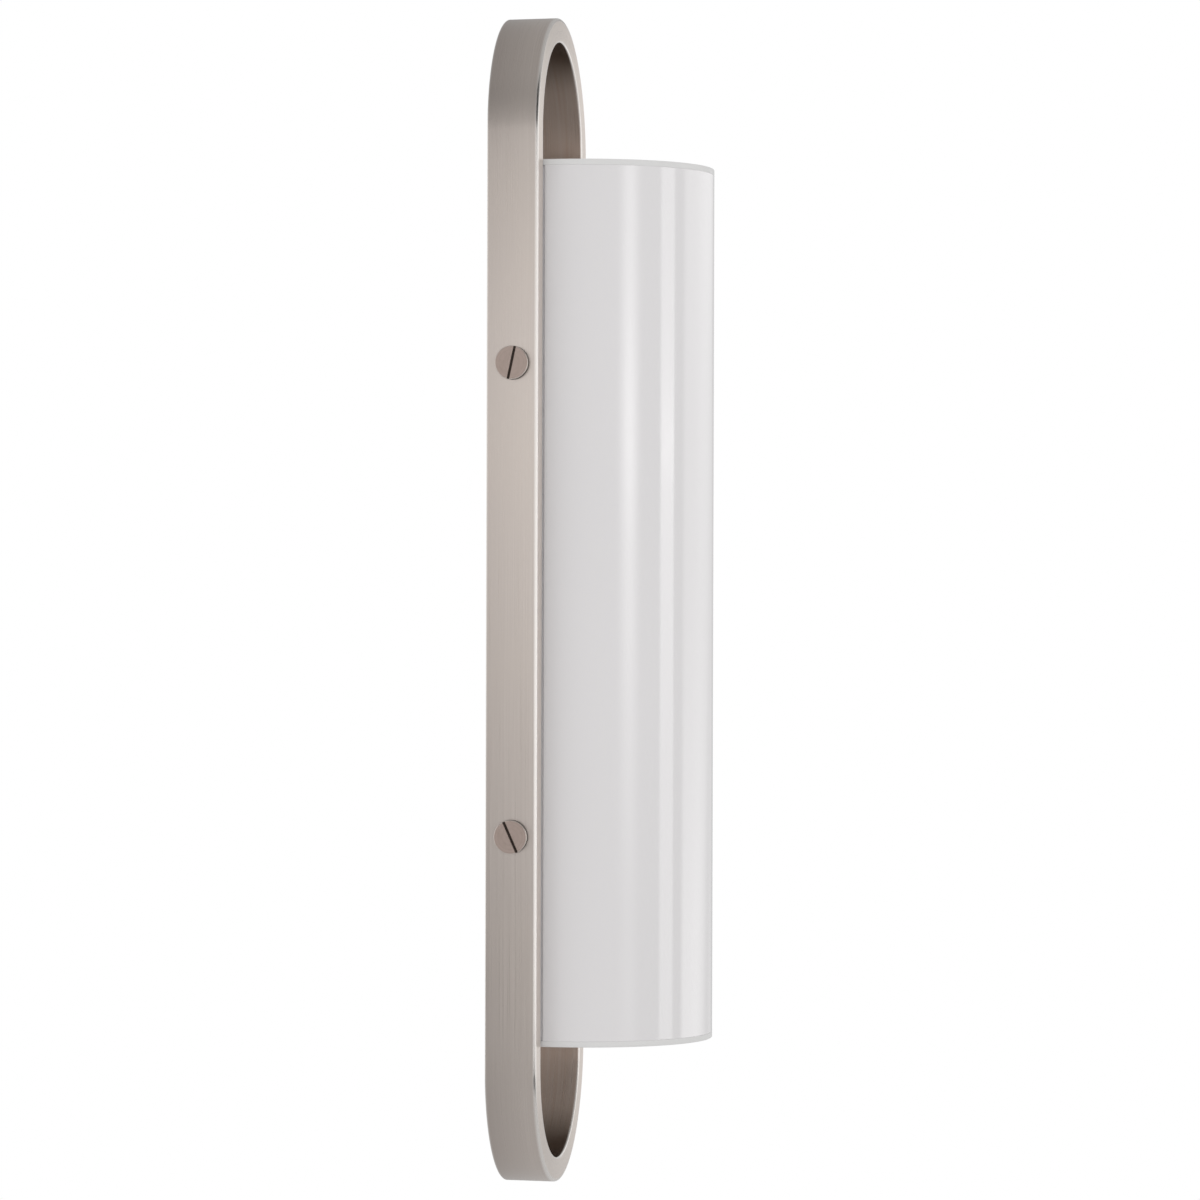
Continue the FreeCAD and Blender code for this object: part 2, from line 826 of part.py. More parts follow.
def make_driver_base():
    """The open case of the driver: walls, ears, four bosses and a window at each end."""
    half = driver_width / 2
    low = driver_low_end
    high = driver_low_end + driver_length
    back = pan_sheet
    floor = back + driver_sheet
    front = back + driver_case_height
    shell = block(-half, half, back, front, low, high)
    wall = driver_sheet
    room = block(-half + wall, half - wall, floor, front + cut_overrun, low + wall, high - wall)
    base = shell.cut(room)
    ear = driver_ear_width / 2
    outer_low = low - driver_ear_length
    outer_high = high + driver_ear_length
    ears = block(-ear, ear, back, floor, outer_low, outer_high)
    base = base.fuse(ears)
    for x in (-1, 1):
        for z in (-1, 1):
            reach = driver_boss_width / 2
            inset = driver_board_margin + driver_boss_width
            place_x = x * (half - wall - inset)
            place_z = driver_centre + z * (driver_length / 2 - wall - inset)
            boss = block(
                place_x - reach,
                place_x + reach,
                floor,
                driver_board_back,
                place_z - reach,
                place_z + reach,
            )
            base = base.fuse(boss)
    cuts = []
    for z in stud_places():
        if z > 0:
            hole = stud_diameter + 2 * screw_clearance
            cuts.append(rod(hole, back - cut_overrun, floor + cut_overrun, 0, z))
    window = terminal_width / 2 + terminal_clearance
    window_front = driver_board_front + terminal_height + terminal_clearance
    for start in (low - cut_overrun, high - wall - cut_overrun):
        end = start + wall + 2 * cut_overrun
        cuts.append(block(-window, window, driver_board_front, window_front, start, end))
    return base.cut(cuts).removeSplitter()


def make_driver_cover():
    """A lid with a turned rim that slips over the walls of the case."""
    gap = driver_lid_clearance
    half = driver_width / 2 + gap + driver_sheet
    low = driver_low_end - gap - driver_sheet
    high = driver_low_end + driver_length + gap + driver_sheet
    inner_front = pan_sheet + driver_case_height
    front = inner_front + driver_sheet
    rim_back = inner_front - driver_lid_rim
    lid = block(-half, half, rim_back, front, low, high)
    wall = driver_sheet
    room = block(
        -half + wall, half - wall, rim_back - cut_overrun, inner_front, low + wall, high - wall
    )
    return lid.cut(room)


def make_driver_board():
    """The circuit board of the driver on its bosses."""
    margin = driver_sheet + driver_board_margin
    half = driver_width / 2 - margin
    low = driver_low_end + margin
    high = driver_low_end + driver_length - margin
    return block(-half, half, driver_board_back, driver_board_front, low, high)


def make_driver_terminals():
    """A push-in terminal at each end of the driver, flush with the case."""
    terminals = []
    half = terminal_width / 2
    front = driver_board_front + terminal_height
    middle = (driver_board_front + front) / 2
    for way in (-1, 1):
        face = driver_centre + way * driver_length / 2
        inner = face - way * terminal_length
        body = block(-half, half, driver_board_front, front, min(face, inner), max(face, inner))
        for pole in range(terminal_poles):
            x = terminal_width * ((pole + 1) / (terminal_poles + 1) - 1 / 2)
            start = face + way * cut_overrun
            end = face - way * terminal_hole_depth
            body = body.cut(square_mouth(terminal_hole_width, x, middle, start, end))
        terminals.append(body)
    return group(terminals)


def make_driver_transformer():
    """A ferrite core in the form of a window frame, with its coil round the middle leg."""
    z = driver_low_end + driver_length * transformer_place_share
    half = transformer_width / 2
    reach = transformer_length / 2
    back = driver_board_front
    front = back + transformer_height
    leg = transformer_leg
    core = block(-half, half, back + leg / 2, front, z - reach, z + reach)
    window = block(-half + leg, half - leg, back, front + cut_overrun, z - reach + leg, z + reach - leg)
    middle = block(-leg / 2, leg / 2, back + leg / 2, front, z - reach, z + reach)
    core = core.cut(window).fuse(middle)
    gap = transformer_coil_gap
    coil = block(
        -half + leg + gap, half - leg - gap, back, front, z - reach + leg + gap, z + reach - leg - gap
    )
    return core.fuse(coil).removeSplitter()


def make_driver_capacitors():
    """Two film capacitors in plain boxes that stand on the board."""
    boxes = []
    z = driver_low_end + driver_length * capacitor_place_share
    front = driver_board_front + capacitor_height
    for way in (-1, 1):
        x = way * capacitor_spacing / 2
        side = capacitor_width / 2
        reach = capacitor_length / 2
        boxes.append(block(x - side, x + side, driver_board_front, front, z - reach, z + reach))
    return group(boxes)


def make_driver_choke():
    """A wound drum that stands on the board."""
    z = driver_low_end + driver_length * choke_place_share
    return rod(choke_diameter, driver_board_front, driver_board_front + choke_height, 0, z)


def make_parts():
    """Every piece of the light under its own name."""
    return {
        "frame_ring": make_frame_ring(),
        "frame_screws": make_frame_screws(),
        "wall_pan": make_wall_pan(),
        "frame_nuts": make_frame_nuts(),
        "tray_standoffs": make_tray_standoffs(),
        "base_studs": make_base_studs(),
        "base_nuts": make_base_nuts(),
        "ground_stud": make_ground_stud(),
        "ground_nut": make_ground_nut(),
        "wire_bushing": make_wire_bushing(),
        "terminal_block": make_terminal_block(),
        "driver_base": make_driver_base(),
        "driver_cover": make_driver_cover(),
        "driver_board": make_driver_board(),
        "driver_terminals": make_driver_terminals(),
        "driver_transformer": make_driver_transformer(),
        "driver_capacitors": make_driver_capacitors(),
        "driver_choke": make_driver_choke(),
        "led_tray": make_led_tray(),
        "tray_screws": make_tray_screws(),
        "tray_grommet": make_tray_grommet(),
        "heat_pads": group(
            [board_plate(way, tray_crown_front, heat_pad_thickness) for way in (-1, 1)]
        ),
        "led_board_upper": board_plate(1, board_back, board_thickness),
        "led_board_lower": board_plate(-1, board_back, board_thickness),
        "led_chips": make_led_chips(),
        "board_connectors": make_board_connectors(),
        "shade": make_shade(),
        "shade_cap_top": make_shade_cap(1),
        "shade_cap_bottom": make_shade_cap(-1),
        "shade_clips": make_shade_clips(),
    }


os.makedirs("parts", exist_ok=True)
for name, shape in make_parts().items():
    shape.exportStep(f"parts/{name}.step")
    print(name, "solids", len(shape.Solids), "valid", shape.isValid(), "volume", round(shape.Volume, 1))
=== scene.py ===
# %% [markdown]
# # A wall light with an oval frame and an opal shade
#
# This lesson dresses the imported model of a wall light. The frame is thick flat bar, bent
# into a closed oval and brushed along its length. A glossy opal shade rises out of it.
# Four slotted screws go through the sides of the frame into a pan on the wall.
# The wall is the plane y = 0, the room lies towards -Y, and all lengths are metres.

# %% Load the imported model
import json
import math

import bmesh
import bpy
import numpy as np
from mathutils import Matrix, Vector

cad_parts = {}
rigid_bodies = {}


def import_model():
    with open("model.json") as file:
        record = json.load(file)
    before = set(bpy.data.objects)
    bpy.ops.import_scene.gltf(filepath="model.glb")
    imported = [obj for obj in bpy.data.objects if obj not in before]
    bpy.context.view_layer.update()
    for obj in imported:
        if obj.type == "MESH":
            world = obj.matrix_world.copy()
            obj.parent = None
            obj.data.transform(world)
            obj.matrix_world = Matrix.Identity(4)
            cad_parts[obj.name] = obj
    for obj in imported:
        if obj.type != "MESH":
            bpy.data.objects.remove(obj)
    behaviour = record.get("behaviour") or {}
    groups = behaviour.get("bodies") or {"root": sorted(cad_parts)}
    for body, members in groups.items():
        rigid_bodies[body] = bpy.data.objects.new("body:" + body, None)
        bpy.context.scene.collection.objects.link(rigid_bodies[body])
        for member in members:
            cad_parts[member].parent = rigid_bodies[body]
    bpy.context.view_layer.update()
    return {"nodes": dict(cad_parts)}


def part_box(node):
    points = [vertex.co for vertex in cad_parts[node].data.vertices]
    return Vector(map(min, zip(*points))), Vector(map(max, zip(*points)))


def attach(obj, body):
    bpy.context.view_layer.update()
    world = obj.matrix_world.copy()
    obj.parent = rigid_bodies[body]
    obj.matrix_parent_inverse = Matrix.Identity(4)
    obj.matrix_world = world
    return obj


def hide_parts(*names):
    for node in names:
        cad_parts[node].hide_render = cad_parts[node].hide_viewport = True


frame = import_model()
BODY = "root"
MM = 0.001
print("nodes in the packed model:", len(frame["nodes"]))

# %% [markdown]
# ## From a grid of points to a mesh
#
# Every new piece here is a surface of two parameters: rows run along the piece and
# columns run round it. The whole grid of points is worked out at once with numpy. The
# cell below turns grids into quads, and joins the last row or column to the first where
# a surface closes on itself. Each grid also carries a map in metres, so that a finish
# such as brushed grain can follow the surface.

# %% Grid to quads
def grid_faces(rows, columns, close_rows, close_columns):
    """Corner numbers of all quads: each point is joined to the next row and column."""
    row = np.arange(rows if close_rows else rows - 1)[:, None]
    column = np.arange(columns if close_columns else columns - 1)[None, :]
    here, next_row = row * columns, (row + 1) % rows * columns
    next_column = (column + 1) % columns
    corners = [here + column, next_row + column, next_row + next_column, here + next_column]
    return np.stack(corners, axis=-1).reshape(-1, 4)


def grid_map(along, round_):
    """Map of each quad's corners: its row value and its column value, not wrapped at a seam."""
    u, v = np.meshgrid(along, round_, indexing="ij")
    both = np.stack([u, v], axis=-1)
    corners = [both[:-1, :-1], both[1:, :-1], both[1:, 1:], both[:-1, 1:]]
    return np.stack(corners, axis=2).reshape(-1, 4, 2)


print("a grid of 2 by 3 points has", len(grid_faces(2, 3, False, False)), "quads")

# %% Quads to a piece
JOIN_DISTANCE = 2e-7
SHARP_ANGLE = math.radians(32)


def points_of(x, y, z):
    """A grid of points from three arrays, each stretched to the size of the whole grid."""
    return np.stack(np.broadcast_arrays(x, y, z), axis=-1)


def put_map(mesh, corners):
    """Stores the map of all corners in the mesh."""
    layer = mesh.uv_layers.new(name="surface_map")
    layer.data.foreach_set("uv", corners.astype(np.float32).reshape(-1))


def put_in_scene(name, data):
    """An object of the scene that shows a mesh, a camera or a lamp."""
    thing = bpy.data.objects.new(name, data)
    bpy.context.scene.collection.objects.link(thing)
    return thing


def make_piece(name, grids):
    """One object from several grids, each a dict of points and, where wanted, the rest.

    The rest is whether rows or columns wrap, whether the faces flip, the map's values along
    and round the piece, and marks, which are named values on the points.
    """
    points, faces, maps, count = [], [], [], 0
    for grid in grids:
        spots = grid["points"]
        rows, columns = spots.shape[:2]
        wrap_rows, wrap_columns = grid.get("wrap_rows", False), grid.get("wrap_columns", False)
        along = grid.get("along", np.arange(rows + wrap_rows) * MM)
        round_ = grid.get("round", np.arange(columns + wrap_columns) * MM)
        quads = grid_faces(rows, columns, wrap_rows, wrap_columns)
        corners = grid_map(along, round_)
        if grid.get("flip", False):
            quads, corners = quads[:, ::-1], corners[:, ::-1]
        points.append(spots.reshape(-1, 3))
        faces.append(quads + count)
        maps.append(corners)
        count += rows * columns
    mesh = bpy.data.meshes.new(name)
    mesh.from_pydata(np.concatenate(points).tolist(), [], np.concatenate(faces).tolist())
    put_map(mesh, np.concatenate(maps))
    for title in grids[0].get("marks", {}):
        mark = mesh.attributes.new(title, "FLOAT", "POINT")
        values = np.concatenate([grid["marks"][title].reshape(-1) for grid in grids])
        mark.data.foreach_set("value", values.astype(np.float32))
    work = bmesh.new()
    work.from_mesh(mesh)
    bmesh.ops.remove_doubles(work, verts=work.verts, dist=JOIN_DISTANCE)
    work.to_mesh(mesh)
    work.free()
    mesh.shade_smooth()
    mesh.set_sharp_from_angle(angle=SHARP_ANGLE)
    piece = put_in_scene(name, mesh)
    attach(piece, BODY)
    return piece


def length_along(points, wrap=False):
    """Distance run along a line of points, starting from nought, with the way back if it wraps."""
    line = np.concatenate([points, points[:1]]) if wrap else points
    return np.concatenate([[0.0], np.cumsum(np.linalg.norm(np.diff(line, axis=0), axis=1))])


print("grid helpers are ready")

# %% [markdown]
# ## The camera
#
# The photograph was taken almost square to the left side of the frame, from far away.
# The outline of the frame fixes the camera: its turn about the upright, its distance,
# a small step to the side and a very small roll. The focal length is given in pixels of
# the 1200 pixel image, so the angle of view is twice the arc tangent of half the image
# over the focal length.

# %% Camera
PHOTO_SIZE = 1200
FOCAL_PIXELS = 3178.9
CAMERA_TURN = math.radians(79.754)
CAMERA_DISTANCE = 1.6769
CAMERA_SIDE_STEP = 0.04606
CAMERA_ROLL = 0.00272
NEAREST_SEEN = 0.05
FARTHEST_SEEN = 50.0

view_way = Vector((math.sin(CAMERA_TURN), math.cos(CAMERA_TURN), 0.0))
image_right = Vector((math.cos(CAMERA_TURN), -math.sin(CAMERA_TURN), 0.0))
upright = Vector((0.0, 0.0, 1.0))
rolled_right = image_right * math.cos(CAMERA_ROLL) + upright * math.sin(CAMERA_ROLL)
rolled_up = upright * math.cos(CAMERA_ROLL) - image_right * math.sin(CAMERA_ROLL)

camera_data = bpy.data.cameras.new("photo_camera")
camera_data.angle = 2 * math.atan(PHOTO_SIZE / 2 / FOCAL_PIXELS)
camera_data.clip_start = NEAREST_SEEN
camera_data.clip_end = FARTHEST_SEEN
camera = put_in_scene("photo_camera", camera_data)
camera_pose = Matrix((rolled_right, rolled_up, -view_way)).transposed().to_4x4()
camera_pose.translation = image_right * CAMERA_SIDE_STEP - view_way * CAMERA_DISTANCE
camera.matrix_world = camera_pose
bpy.context.scene.camera = camera
print("camera at", [round(c, 4) for c in camera_pose.translation])

# %% [markdown]
# ## The oval frame
#
# On the real light a flat bar is bent to two straight sides and two half circles, and
# its ends are welded and ground away. The surface is a rounded rectangle carried along
# that oval: a place on the oval gives a centre and an outward direction, and a place on
# the profile gives how far out and how far from the wall the point lies. The front
# edges have a clear rounding that catches the light, and the back edges only a small one.

# %% Oval frame
BAR_THICKNESS = 12.7 * MM
OUTER_ROUNDING = 1.5 * MM
INNER_ROUNDING = 0.9 * MM
BACK_ROUNDING = 0.5 * MM
WEAR_AND_HIGHLIGHT_FADE = 0.5 * MM
WEAR_AND_HIGHLIGHT_AT_FLATS = 0.4
BEND_START_SHARE = 0.6
FACE_MARGIN = 0.1 * MM
CORNER_STEPS = 9
SIDE_STEPS = 60
ARC_STEPS = 96

frame_low, frame_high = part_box("frame_ring")
outer_radius = frame_high.x
inner_radius = outer_radius - BAR_THICKNESS
arc_centre = frame_high.z - outer_radius
frame_depth = -frame_low.y


def oval_path():
    """Centres and outward directions on the oval, counted up the right side and round.

    On a side the centre slides along the upright axis and the direction is level. On an
    end the centre stays and the direction turns through half a circle.
    """
    side = np.linspace(-arc_centre, arc_centre, SIDE_STEPS, endpoint=False)
    turn = np.linspace(0, math.pi, ARC_STEPS, endpoint=False)
    heights = np.concatenate([side, np.full(ARC_STEPS, arc_centre)])
    angles = np.concatenate([np.zeros(SIDE_STEPS), turn])
    heights = np.concatenate([heights, -heights])
    angles = np.concatenate([angles, angles + math.pi])
    return heights, np.stack([np.cos(angles), np.sin(angles)], axis=1)


def bar_profile():
    """Reach and depth round the bar's profile, with each point's wear and painted highlight.

    Each corner is a quarter circle, worn and given painted highlight most in its middle. Two
    points beside it let both fade on the flats.
    """
    turn = np.linspace(0, math.pi / 2, CORNER_STEPS)
    corners = [
        (outer_radius, -1, 0, BACK_ROUNDING, -math.pi / 2),
        (outer_radius, -1, frame_depth, OUTER_ROUNDING, 0),
        (inner_radius, 1, frame_depth, INNER_ROUNDING, math.pi / 2),
        (inner_radius, 1, 0, BACK_ROUNDING, math.pi),
    ]
    reach, depth, wear_and_highlight = [], [], []
    for edge, inward, level, radius, start in corners:
        middle_reach = edge + inward * radius
        middle_depth = radius if level == 0 else level - radius
        angle = turn + start
        before = np.array([-math.sin(start), math.cos(start)]) * -WEAR_AND_HIGHLIGHT_FADE
        after = np.array([-math.sin(start + math.pi / 2), math.cos(start + math.pi / 2)]) * WEAR_AND_HIGHLIGHT_FADE
        arc = np.stack([middle_reach + radius * np.cos(angle), middle_depth + radius * np.sin(angle)])
        first, last = arc[:, 0] + before, arc[:, -1] + after
        reach.append(np.concatenate([first[:1], arc[0], last[:1]]))
        depth.append(np.concatenate([first[1:], arc[1], last[1:]]))
        worn_and_lit = np.sin(turn * 2) * (1 - WEAR_AND_HIGHLIGHT_AT_FLATS) + WEAR_AND_HIGHLIGHT_AT_FLATS
        wear_and_highlight.append(np.concatenate([[0.0], worn_and_lit, [0.0]]))
    return np.concatenate(reach), np.concatenate(depth), np.concatenate(wear_and_highlight)


def oval_bar():
    """Point = centre on the upright axis + reach times the outward direction, at its depth.

    Three marks ride on the points: the edges' wear and painted highlight, the inner side of
    the bar, which gets painted shade, and how near a point on it lies to the top or foot of
    the bend, as a smooth step of the height, where the inner side gets darker painted shade.
    """
    heights, outward = oval_path()
    reach, depth, wear_and_highlight = bar_profile()
    x = outward[:, :1] * reach
    z = heights[:, None] + outward[:, 1:] * reach
    middle = (inner_radius + outer_radius) / 2
    spine = np.stack([outward[:, 0] * middle, heights + outward[:, 1] * middle], axis=1)
    outline = np.stack([reach, depth], axis=1)
    up_the_bend = np.clip((np.abs(z) - arc_centre) / inner_radius, 0, 1)
    bend = np.clip((up_the_bend - BEND_START_SHARE) / (1 - BEND_START_SHARE), 0, 1)
    inside = np.broadcast_to(reach < inner_radius + FACE_MARGIN, z.shape)
    return {
        "points": points_of(x, -depth, z),
        "wrap_rows": True,
        "wrap_columns": True,
        "along": length_along(spine, wrap=True),
        "round": length_along(outline, wrap=True),
        "marks": {
            "edge_wear_and_highlight": np.broadcast_to(wear_and_highlight, x.shape),
            "inner_side_shade": inside * 1.0,
            "inner_bend_shade": inside * bend**2 * (3 - 2 * bend),
        },
    }


frame_bar = make_piece("oval_frame_bar", [oval_bar()])
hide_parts("frame_ring")
print("oval frame:", len(frame_bar.data.polygons), "faces")

# %% [markdown]
# ## The slotted screws
#
# A cheese-head screw is turned from bar: a low round head with a barely eased rim, and
# one straight slot sawn across it. Drawn as a disc, the slot would cut through the faces
# at random. Here the disc is ruled in lines that run along the slot, so the slot's edges
# are lines of the grid, and the rim and the side wall follow the same lines round.

# %% Screw heads and shanks
HEAD_RADIUS = 8.5 * MM
HEAD_HEIGHT = 3.2 * MM
RIM_ROUNDING = 0.35 * MM
SLOT_WIDTH = 1.3 * MM
SLOT_DEPTH = 1.6 * MM
SLOT_EASING = 0.12 * MM
SHANK_RADIUS = 2.5 * MM
THREAD_PITCH = 0.8 * MM
THREAD_DEPTH = 0.35 * MM
SCREW_HEIGHT = 120.0 * MM
SCREW_DEPTH = 13.5 * MM
SHANK_TIP = 47.0 * MM
PLAIN_NECK = 12.0 * MM
NECK_FADE = 2.0 * MM
TIP_SHARE = 0.75
HEAD_SEAT = outer_radius
ROOT_IN_HEAD = 0.3 * MM
FACE_LINES = 16
LINE_POINTS = 21
RIM_STEPS = 5
THREAD_COLUMNS = 32
THREAD_ROWS = 150
# How far each slot's top leans towards the room, in degrees, by side and level
SLOT_TURNS = {(-1, 1): 12.0, (-1, -1): -24.0, (1, 1): 35.0, (1, -1): -8.0}


def slot_lines():
    """Places across the slot, each with its height: level face, eased edge, floor, and back."""
    face = HEAD_RADIUS - RIM_ROUNDING
    half = SLOT_WIDTH / 2
    turn = np.linspace(0, math.pi / 2, FACE_LINES)
    left = -half - SLOT_EASING - (face - half - SLOT_EASING) * np.cos(turn)
    bottom, eased = HEAD_HEIGHT - SLOT_DEPTH, HEAD_HEIGHT - SLOT_EASING
    inner = np.array([-half, -half, 0.0, half, half])
    inner_height = np.array([eased, bottom, bottom, bottom, eased])
    level = np.full(left.shape, HEAD_HEIGHT)
    places = np.concatenate([left, inner, -left[::-1]])
    return places, np.concatenate([level, inner_height, level])


def screw_head():
    """Face, rim and wall of one head, with the axis upright and the slot along the second axis.

    The face is ruled in lines p along the slot: q runs between plus and minus the square
    root of the radius squared less p squared. The rim follows the ends of those lines.
    """
    face = HEAD_RADIUS - RIM_ROUNDING
    places, heights = slot_lines()
    span = np.sqrt(np.maximum(face**2 - places**2, 0))
    share = np.sin(np.linspace(-math.pi / 2, math.pi / 2, LINE_POINTS))
    top = points_of(places[:, None], span[:, None] * share, heights[:, None])
    loop_p = np.concatenate([places, places[::-1]])
    loop_q = np.concatenate([span, -span[::-1]])
    loop_h = np.concatenate([heights, heights[::-1]])
    out = np.stack([loop_p, loop_q], axis=1) / face
    turn = np.linspace(0, math.pi / 2, RIM_STEPS)
    reach = np.concatenate([face + RIM_ROUNDING * np.sin(turn), [HEAD_RADIUS, 0.0]])
    drop = np.concatenate([RIM_ROUNDING * (1 - np.cos(turn)), [HEAD_HEIGHT, HEAD_HEIGHT]])
    rim_height = np.minimum(loop_h[:, None], HEAD_HEIGHT - drop[None, :])
    wall = points_of(out[:, :1] * reach, out[:, 1:] * reach, rim_height)
    return [{"points": top}, {"points": wall, "wrap_rows": True}]


def round_upright(reach, angle, height):
    """Points round the upright axis: x and y are the reach times the cosine and the sine."""
    return points_of(reach * np.cos(angle), reach * np.sin(angle), height)


def screw_shank(length):
    """A threaded rod: its radius is a triangle wave of the height less the turn times the pitch.

    The neck under the head is plain, and the tip tapers. The first and last rows shrink to a
    point, which closes the tip and the end in the head.
    """
    turn = np.linspace(0, 2 * math.pi, THREAD_COLUMNS, endpoint=False)
    rise = np.concatenate([np.linspace(-length, ROOT_IN_HEAD, THREAD_ROWS), [ROOT_IN_HEAD]])[:, None]
    phase = (rise / THREAD_PITCH - turn / (2 * math.pi)) % 1.0
    crest = 1 - np.abs(2 * phase - 1)
    threaded = np.clip((-rise - PLAIN_NECK) / NECK_FADE, 0, 1)
    from_tip = np.clip((rise + length) / (2 * THREAD_PITCH), 0, 1)
    radius = SHANK_RADIUS - THREAD_DEPTH * crest * threaded
    radius = radius * (TIP_SHARE + (1 - TIP_SHARE) * from_tip)
    radius[[0, -1]] = 0.0
    return {"points": round_upright(radius, turn, rise), "wrap_columns": True, "flip": True}


def placed_screws():
    """All four screws: the local upright axis points out of the frame's side."""
    grids = []
    for (side, level), lean in SLOT_TURNS.items():
        outward = np.array([side, 0.0, 0.0])
        lean = math.radians(lean)
        along_slot = np.array([0.0, -math.sin(lean), math.cos(lean)])
        across = np.cross(along_slot, outward)
        seat = np.array([side * HEAD_SEAT, -SCREW_DEPTH, level * SCREW_HEIGHT])
        axes = np.stack([across, along_slot, outward])
        for grid in screw_head() + [screw_shank(HEAD_SEAT - SHANK_TIP)]:
            grids.append({**grid, "points": grid["points"] @ axes + seat})
    return grids


screws = make_piece("side_screws", placed_screws())
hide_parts("frame_screws")
print("screws:", len(screws.data.polygons), "faces")

# %% [markdown]
# ## The opal shade
#
# The body is an extruded opal tube with an open back: straight sides inside the frame,
# half an ellipse in the room, and a lip along each side that the clips hold. Its wall is
# a pair of curves, outer and inner, that run from lip to lip. The surface goes up on
# the outer curve, over the top edge and down on the inner one, so the wall is closed.

# %% Shade body
SHADE_WALL = 3.0 * MM
LIP_WIDTH = 3.5 * MM
LIP_THICKNESS = 2.5 * MM
END_EASING = 0.15 * MM
shade_low, shade_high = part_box("shade")
shade_half = shade_high.x
shade_back = -shade_high.y
shade_nose = -shade_low.y
ELLIPSE_STEPS = 180
HEIGHT_STEPS = 40
FLANK_STEPS = 4
LIP_STEPS = 3
GROOVE_DEPTH = 1.2 * MM
GROOVE_START = frame_depth - 0.5 * MM
GROOVE_END = frame_depth + 0.6 * MM
GROOVE_SLOPE = 0.06 * MM


def half_ellipse(half, nose):
    """Across = half times the sine, depth = frame depth + (nose - frame depth) times the cosine.

    The angle runs through half a circle.
    """
    turn = np.linspace(-math.pi / 2, math.pi / 2, ELLIPSE_STEPS)
    return half * np.sin(turn), frame_depth + (nose - frame_depth) * np.cos(turn)


def lip_to_lip(half, nose, back, lip_edge, groove):
    """A curve from the left lip's tip, out to the side, forward, round the nose and back.

    The side has a groove just where it leaves the frame, which draws the fine dark line
    along it.
    """
    across, nose_depth = half_ellipse(half, nose)
    lip = np.linspace(lip_edge, half, LIP_STEPS, endpoint=False)
    in_groove = [GROOVE_START + GROOVE_SLOPE, GROOVE_END - GROOVE_SLOPE]
    side = np.concatenate([np.linspace(back, GROOVE_START, FLANK_STEPS), in_groove, [GROOVE_END]])
    reach = half - np.concatenate([np.zeros(FLANK_STEPS), [groove, groove, 0.0]])
    x = np.concatenate([-lip, -reach, across[1:-1], reach[::-1], lip[::-1]])
    flat = np.full(LIP_STEPS, back)
    depth = np.concatenate([flat, side, nose_depth[1:-1], side[::-1], flat])
    return np.stack([x, -depth], axis=1)


def shade_body():
    """The closed wall: columns go up the outer curve and down the inner curve."""
    lip_edge = shade_half - SHADE_WALL - LIP_WIDTH
    outer = lip_to_lip(shade_half, shade_nose, shade_back, lip_edge, GROOVE_DEPTH)
    inner_nose, inner_back = shade_nose - SHADE_WALL, shade_back + LIP_THICKNESS
    inner = lip_to_lip(shade_half - SHADE_WALL, inner_nose, inner_back, lip_edge, 0.0)
    rise = np.linspace(shade_low.z + END_EASING, shade_high.z - END_EASING, HEIGHT_STEPS)
    heights = np.concatenate([[shade_low.z], rise, [shade_high.z]])
    eased = np.zeros(len(heights))
    eased[[0, -1]] = END_EASING
    centre = np.array([0.0, -frame_depth])
    pull = (centre - outer) / np.linalg.norm(centre - outer, axis=1)[:, None]
    outer_grid = outer[:, None, :] + pull[:, None, :] * eased[None, :, None]
    inner_grid = np.repeat(inner[:, None, :], len(heights), axis=1)
    flat = np.concatenate([outer_grid, inner_grid[:, ::-1]], axis=1)
    points = points_of(flat[..., 0], flat[..., 1], np.concatenate([heights, heights[::-1]]))
    wall = {
        "points": points,
        "wrap_columns": True,
        "along": length_along(outer),
        "round": length_along(points[0], wrap=True),
    }
    count = len(heights)
    tips = []
    for row, turned in ((0, True), (-1, False)):
        tip = np.stack([points[row, :count], points[row, count:][::-1]])
        tips.append({"points": tip, "flip": turned})
    return [wall] + tips


shade = make_piece("opal_shade_body", shade_body())
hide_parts("shade")
print("shade body:", len(shade.data.polygons), "faces")

# %% [markdown]
# ## The end caps
#
# Each end of the tube is closed by a flat plate of the same white sheet, bonded on and
# polished flush, so that only a fine line and a quieter band tell it from the tube. The
# plate is a set of shrinking copies of the tube's outline: out along the inner face, up
# the edge with its rounded rim, and back in along the outer face.

# %% End caps
CAP_ROUNDING = 0.5 * MM
BOND_LINE = 0.12 * MM
BACK_STEPS = 23
INNER_RINGS = 5
RIM_RINGS = 6
OUTER_RINGS = 6


def cap_outline():
    """The closed outline: left side, ellipse, right side, then the straight back."""
    across, nose_depth = half_ellipse(shade_half, shade_nose)
    side = np.linspace(shade_back, frame_depth, FLANK_STEPS, endpoint=False)
    level_side = np.full(FLANK_STEPS, shade_half)
    back = np.linspace(shade_half, -shade_half, BACK_STEPS + 2)[1:-1]
    x = np.concatenate([-level_side, across, level_side, back])
    depth = np.concatenate([side, nose_depth, side[::-1], np.full(BACK_STEPS, shade_back)])
    return np.stack([x, -depth], axis=1)


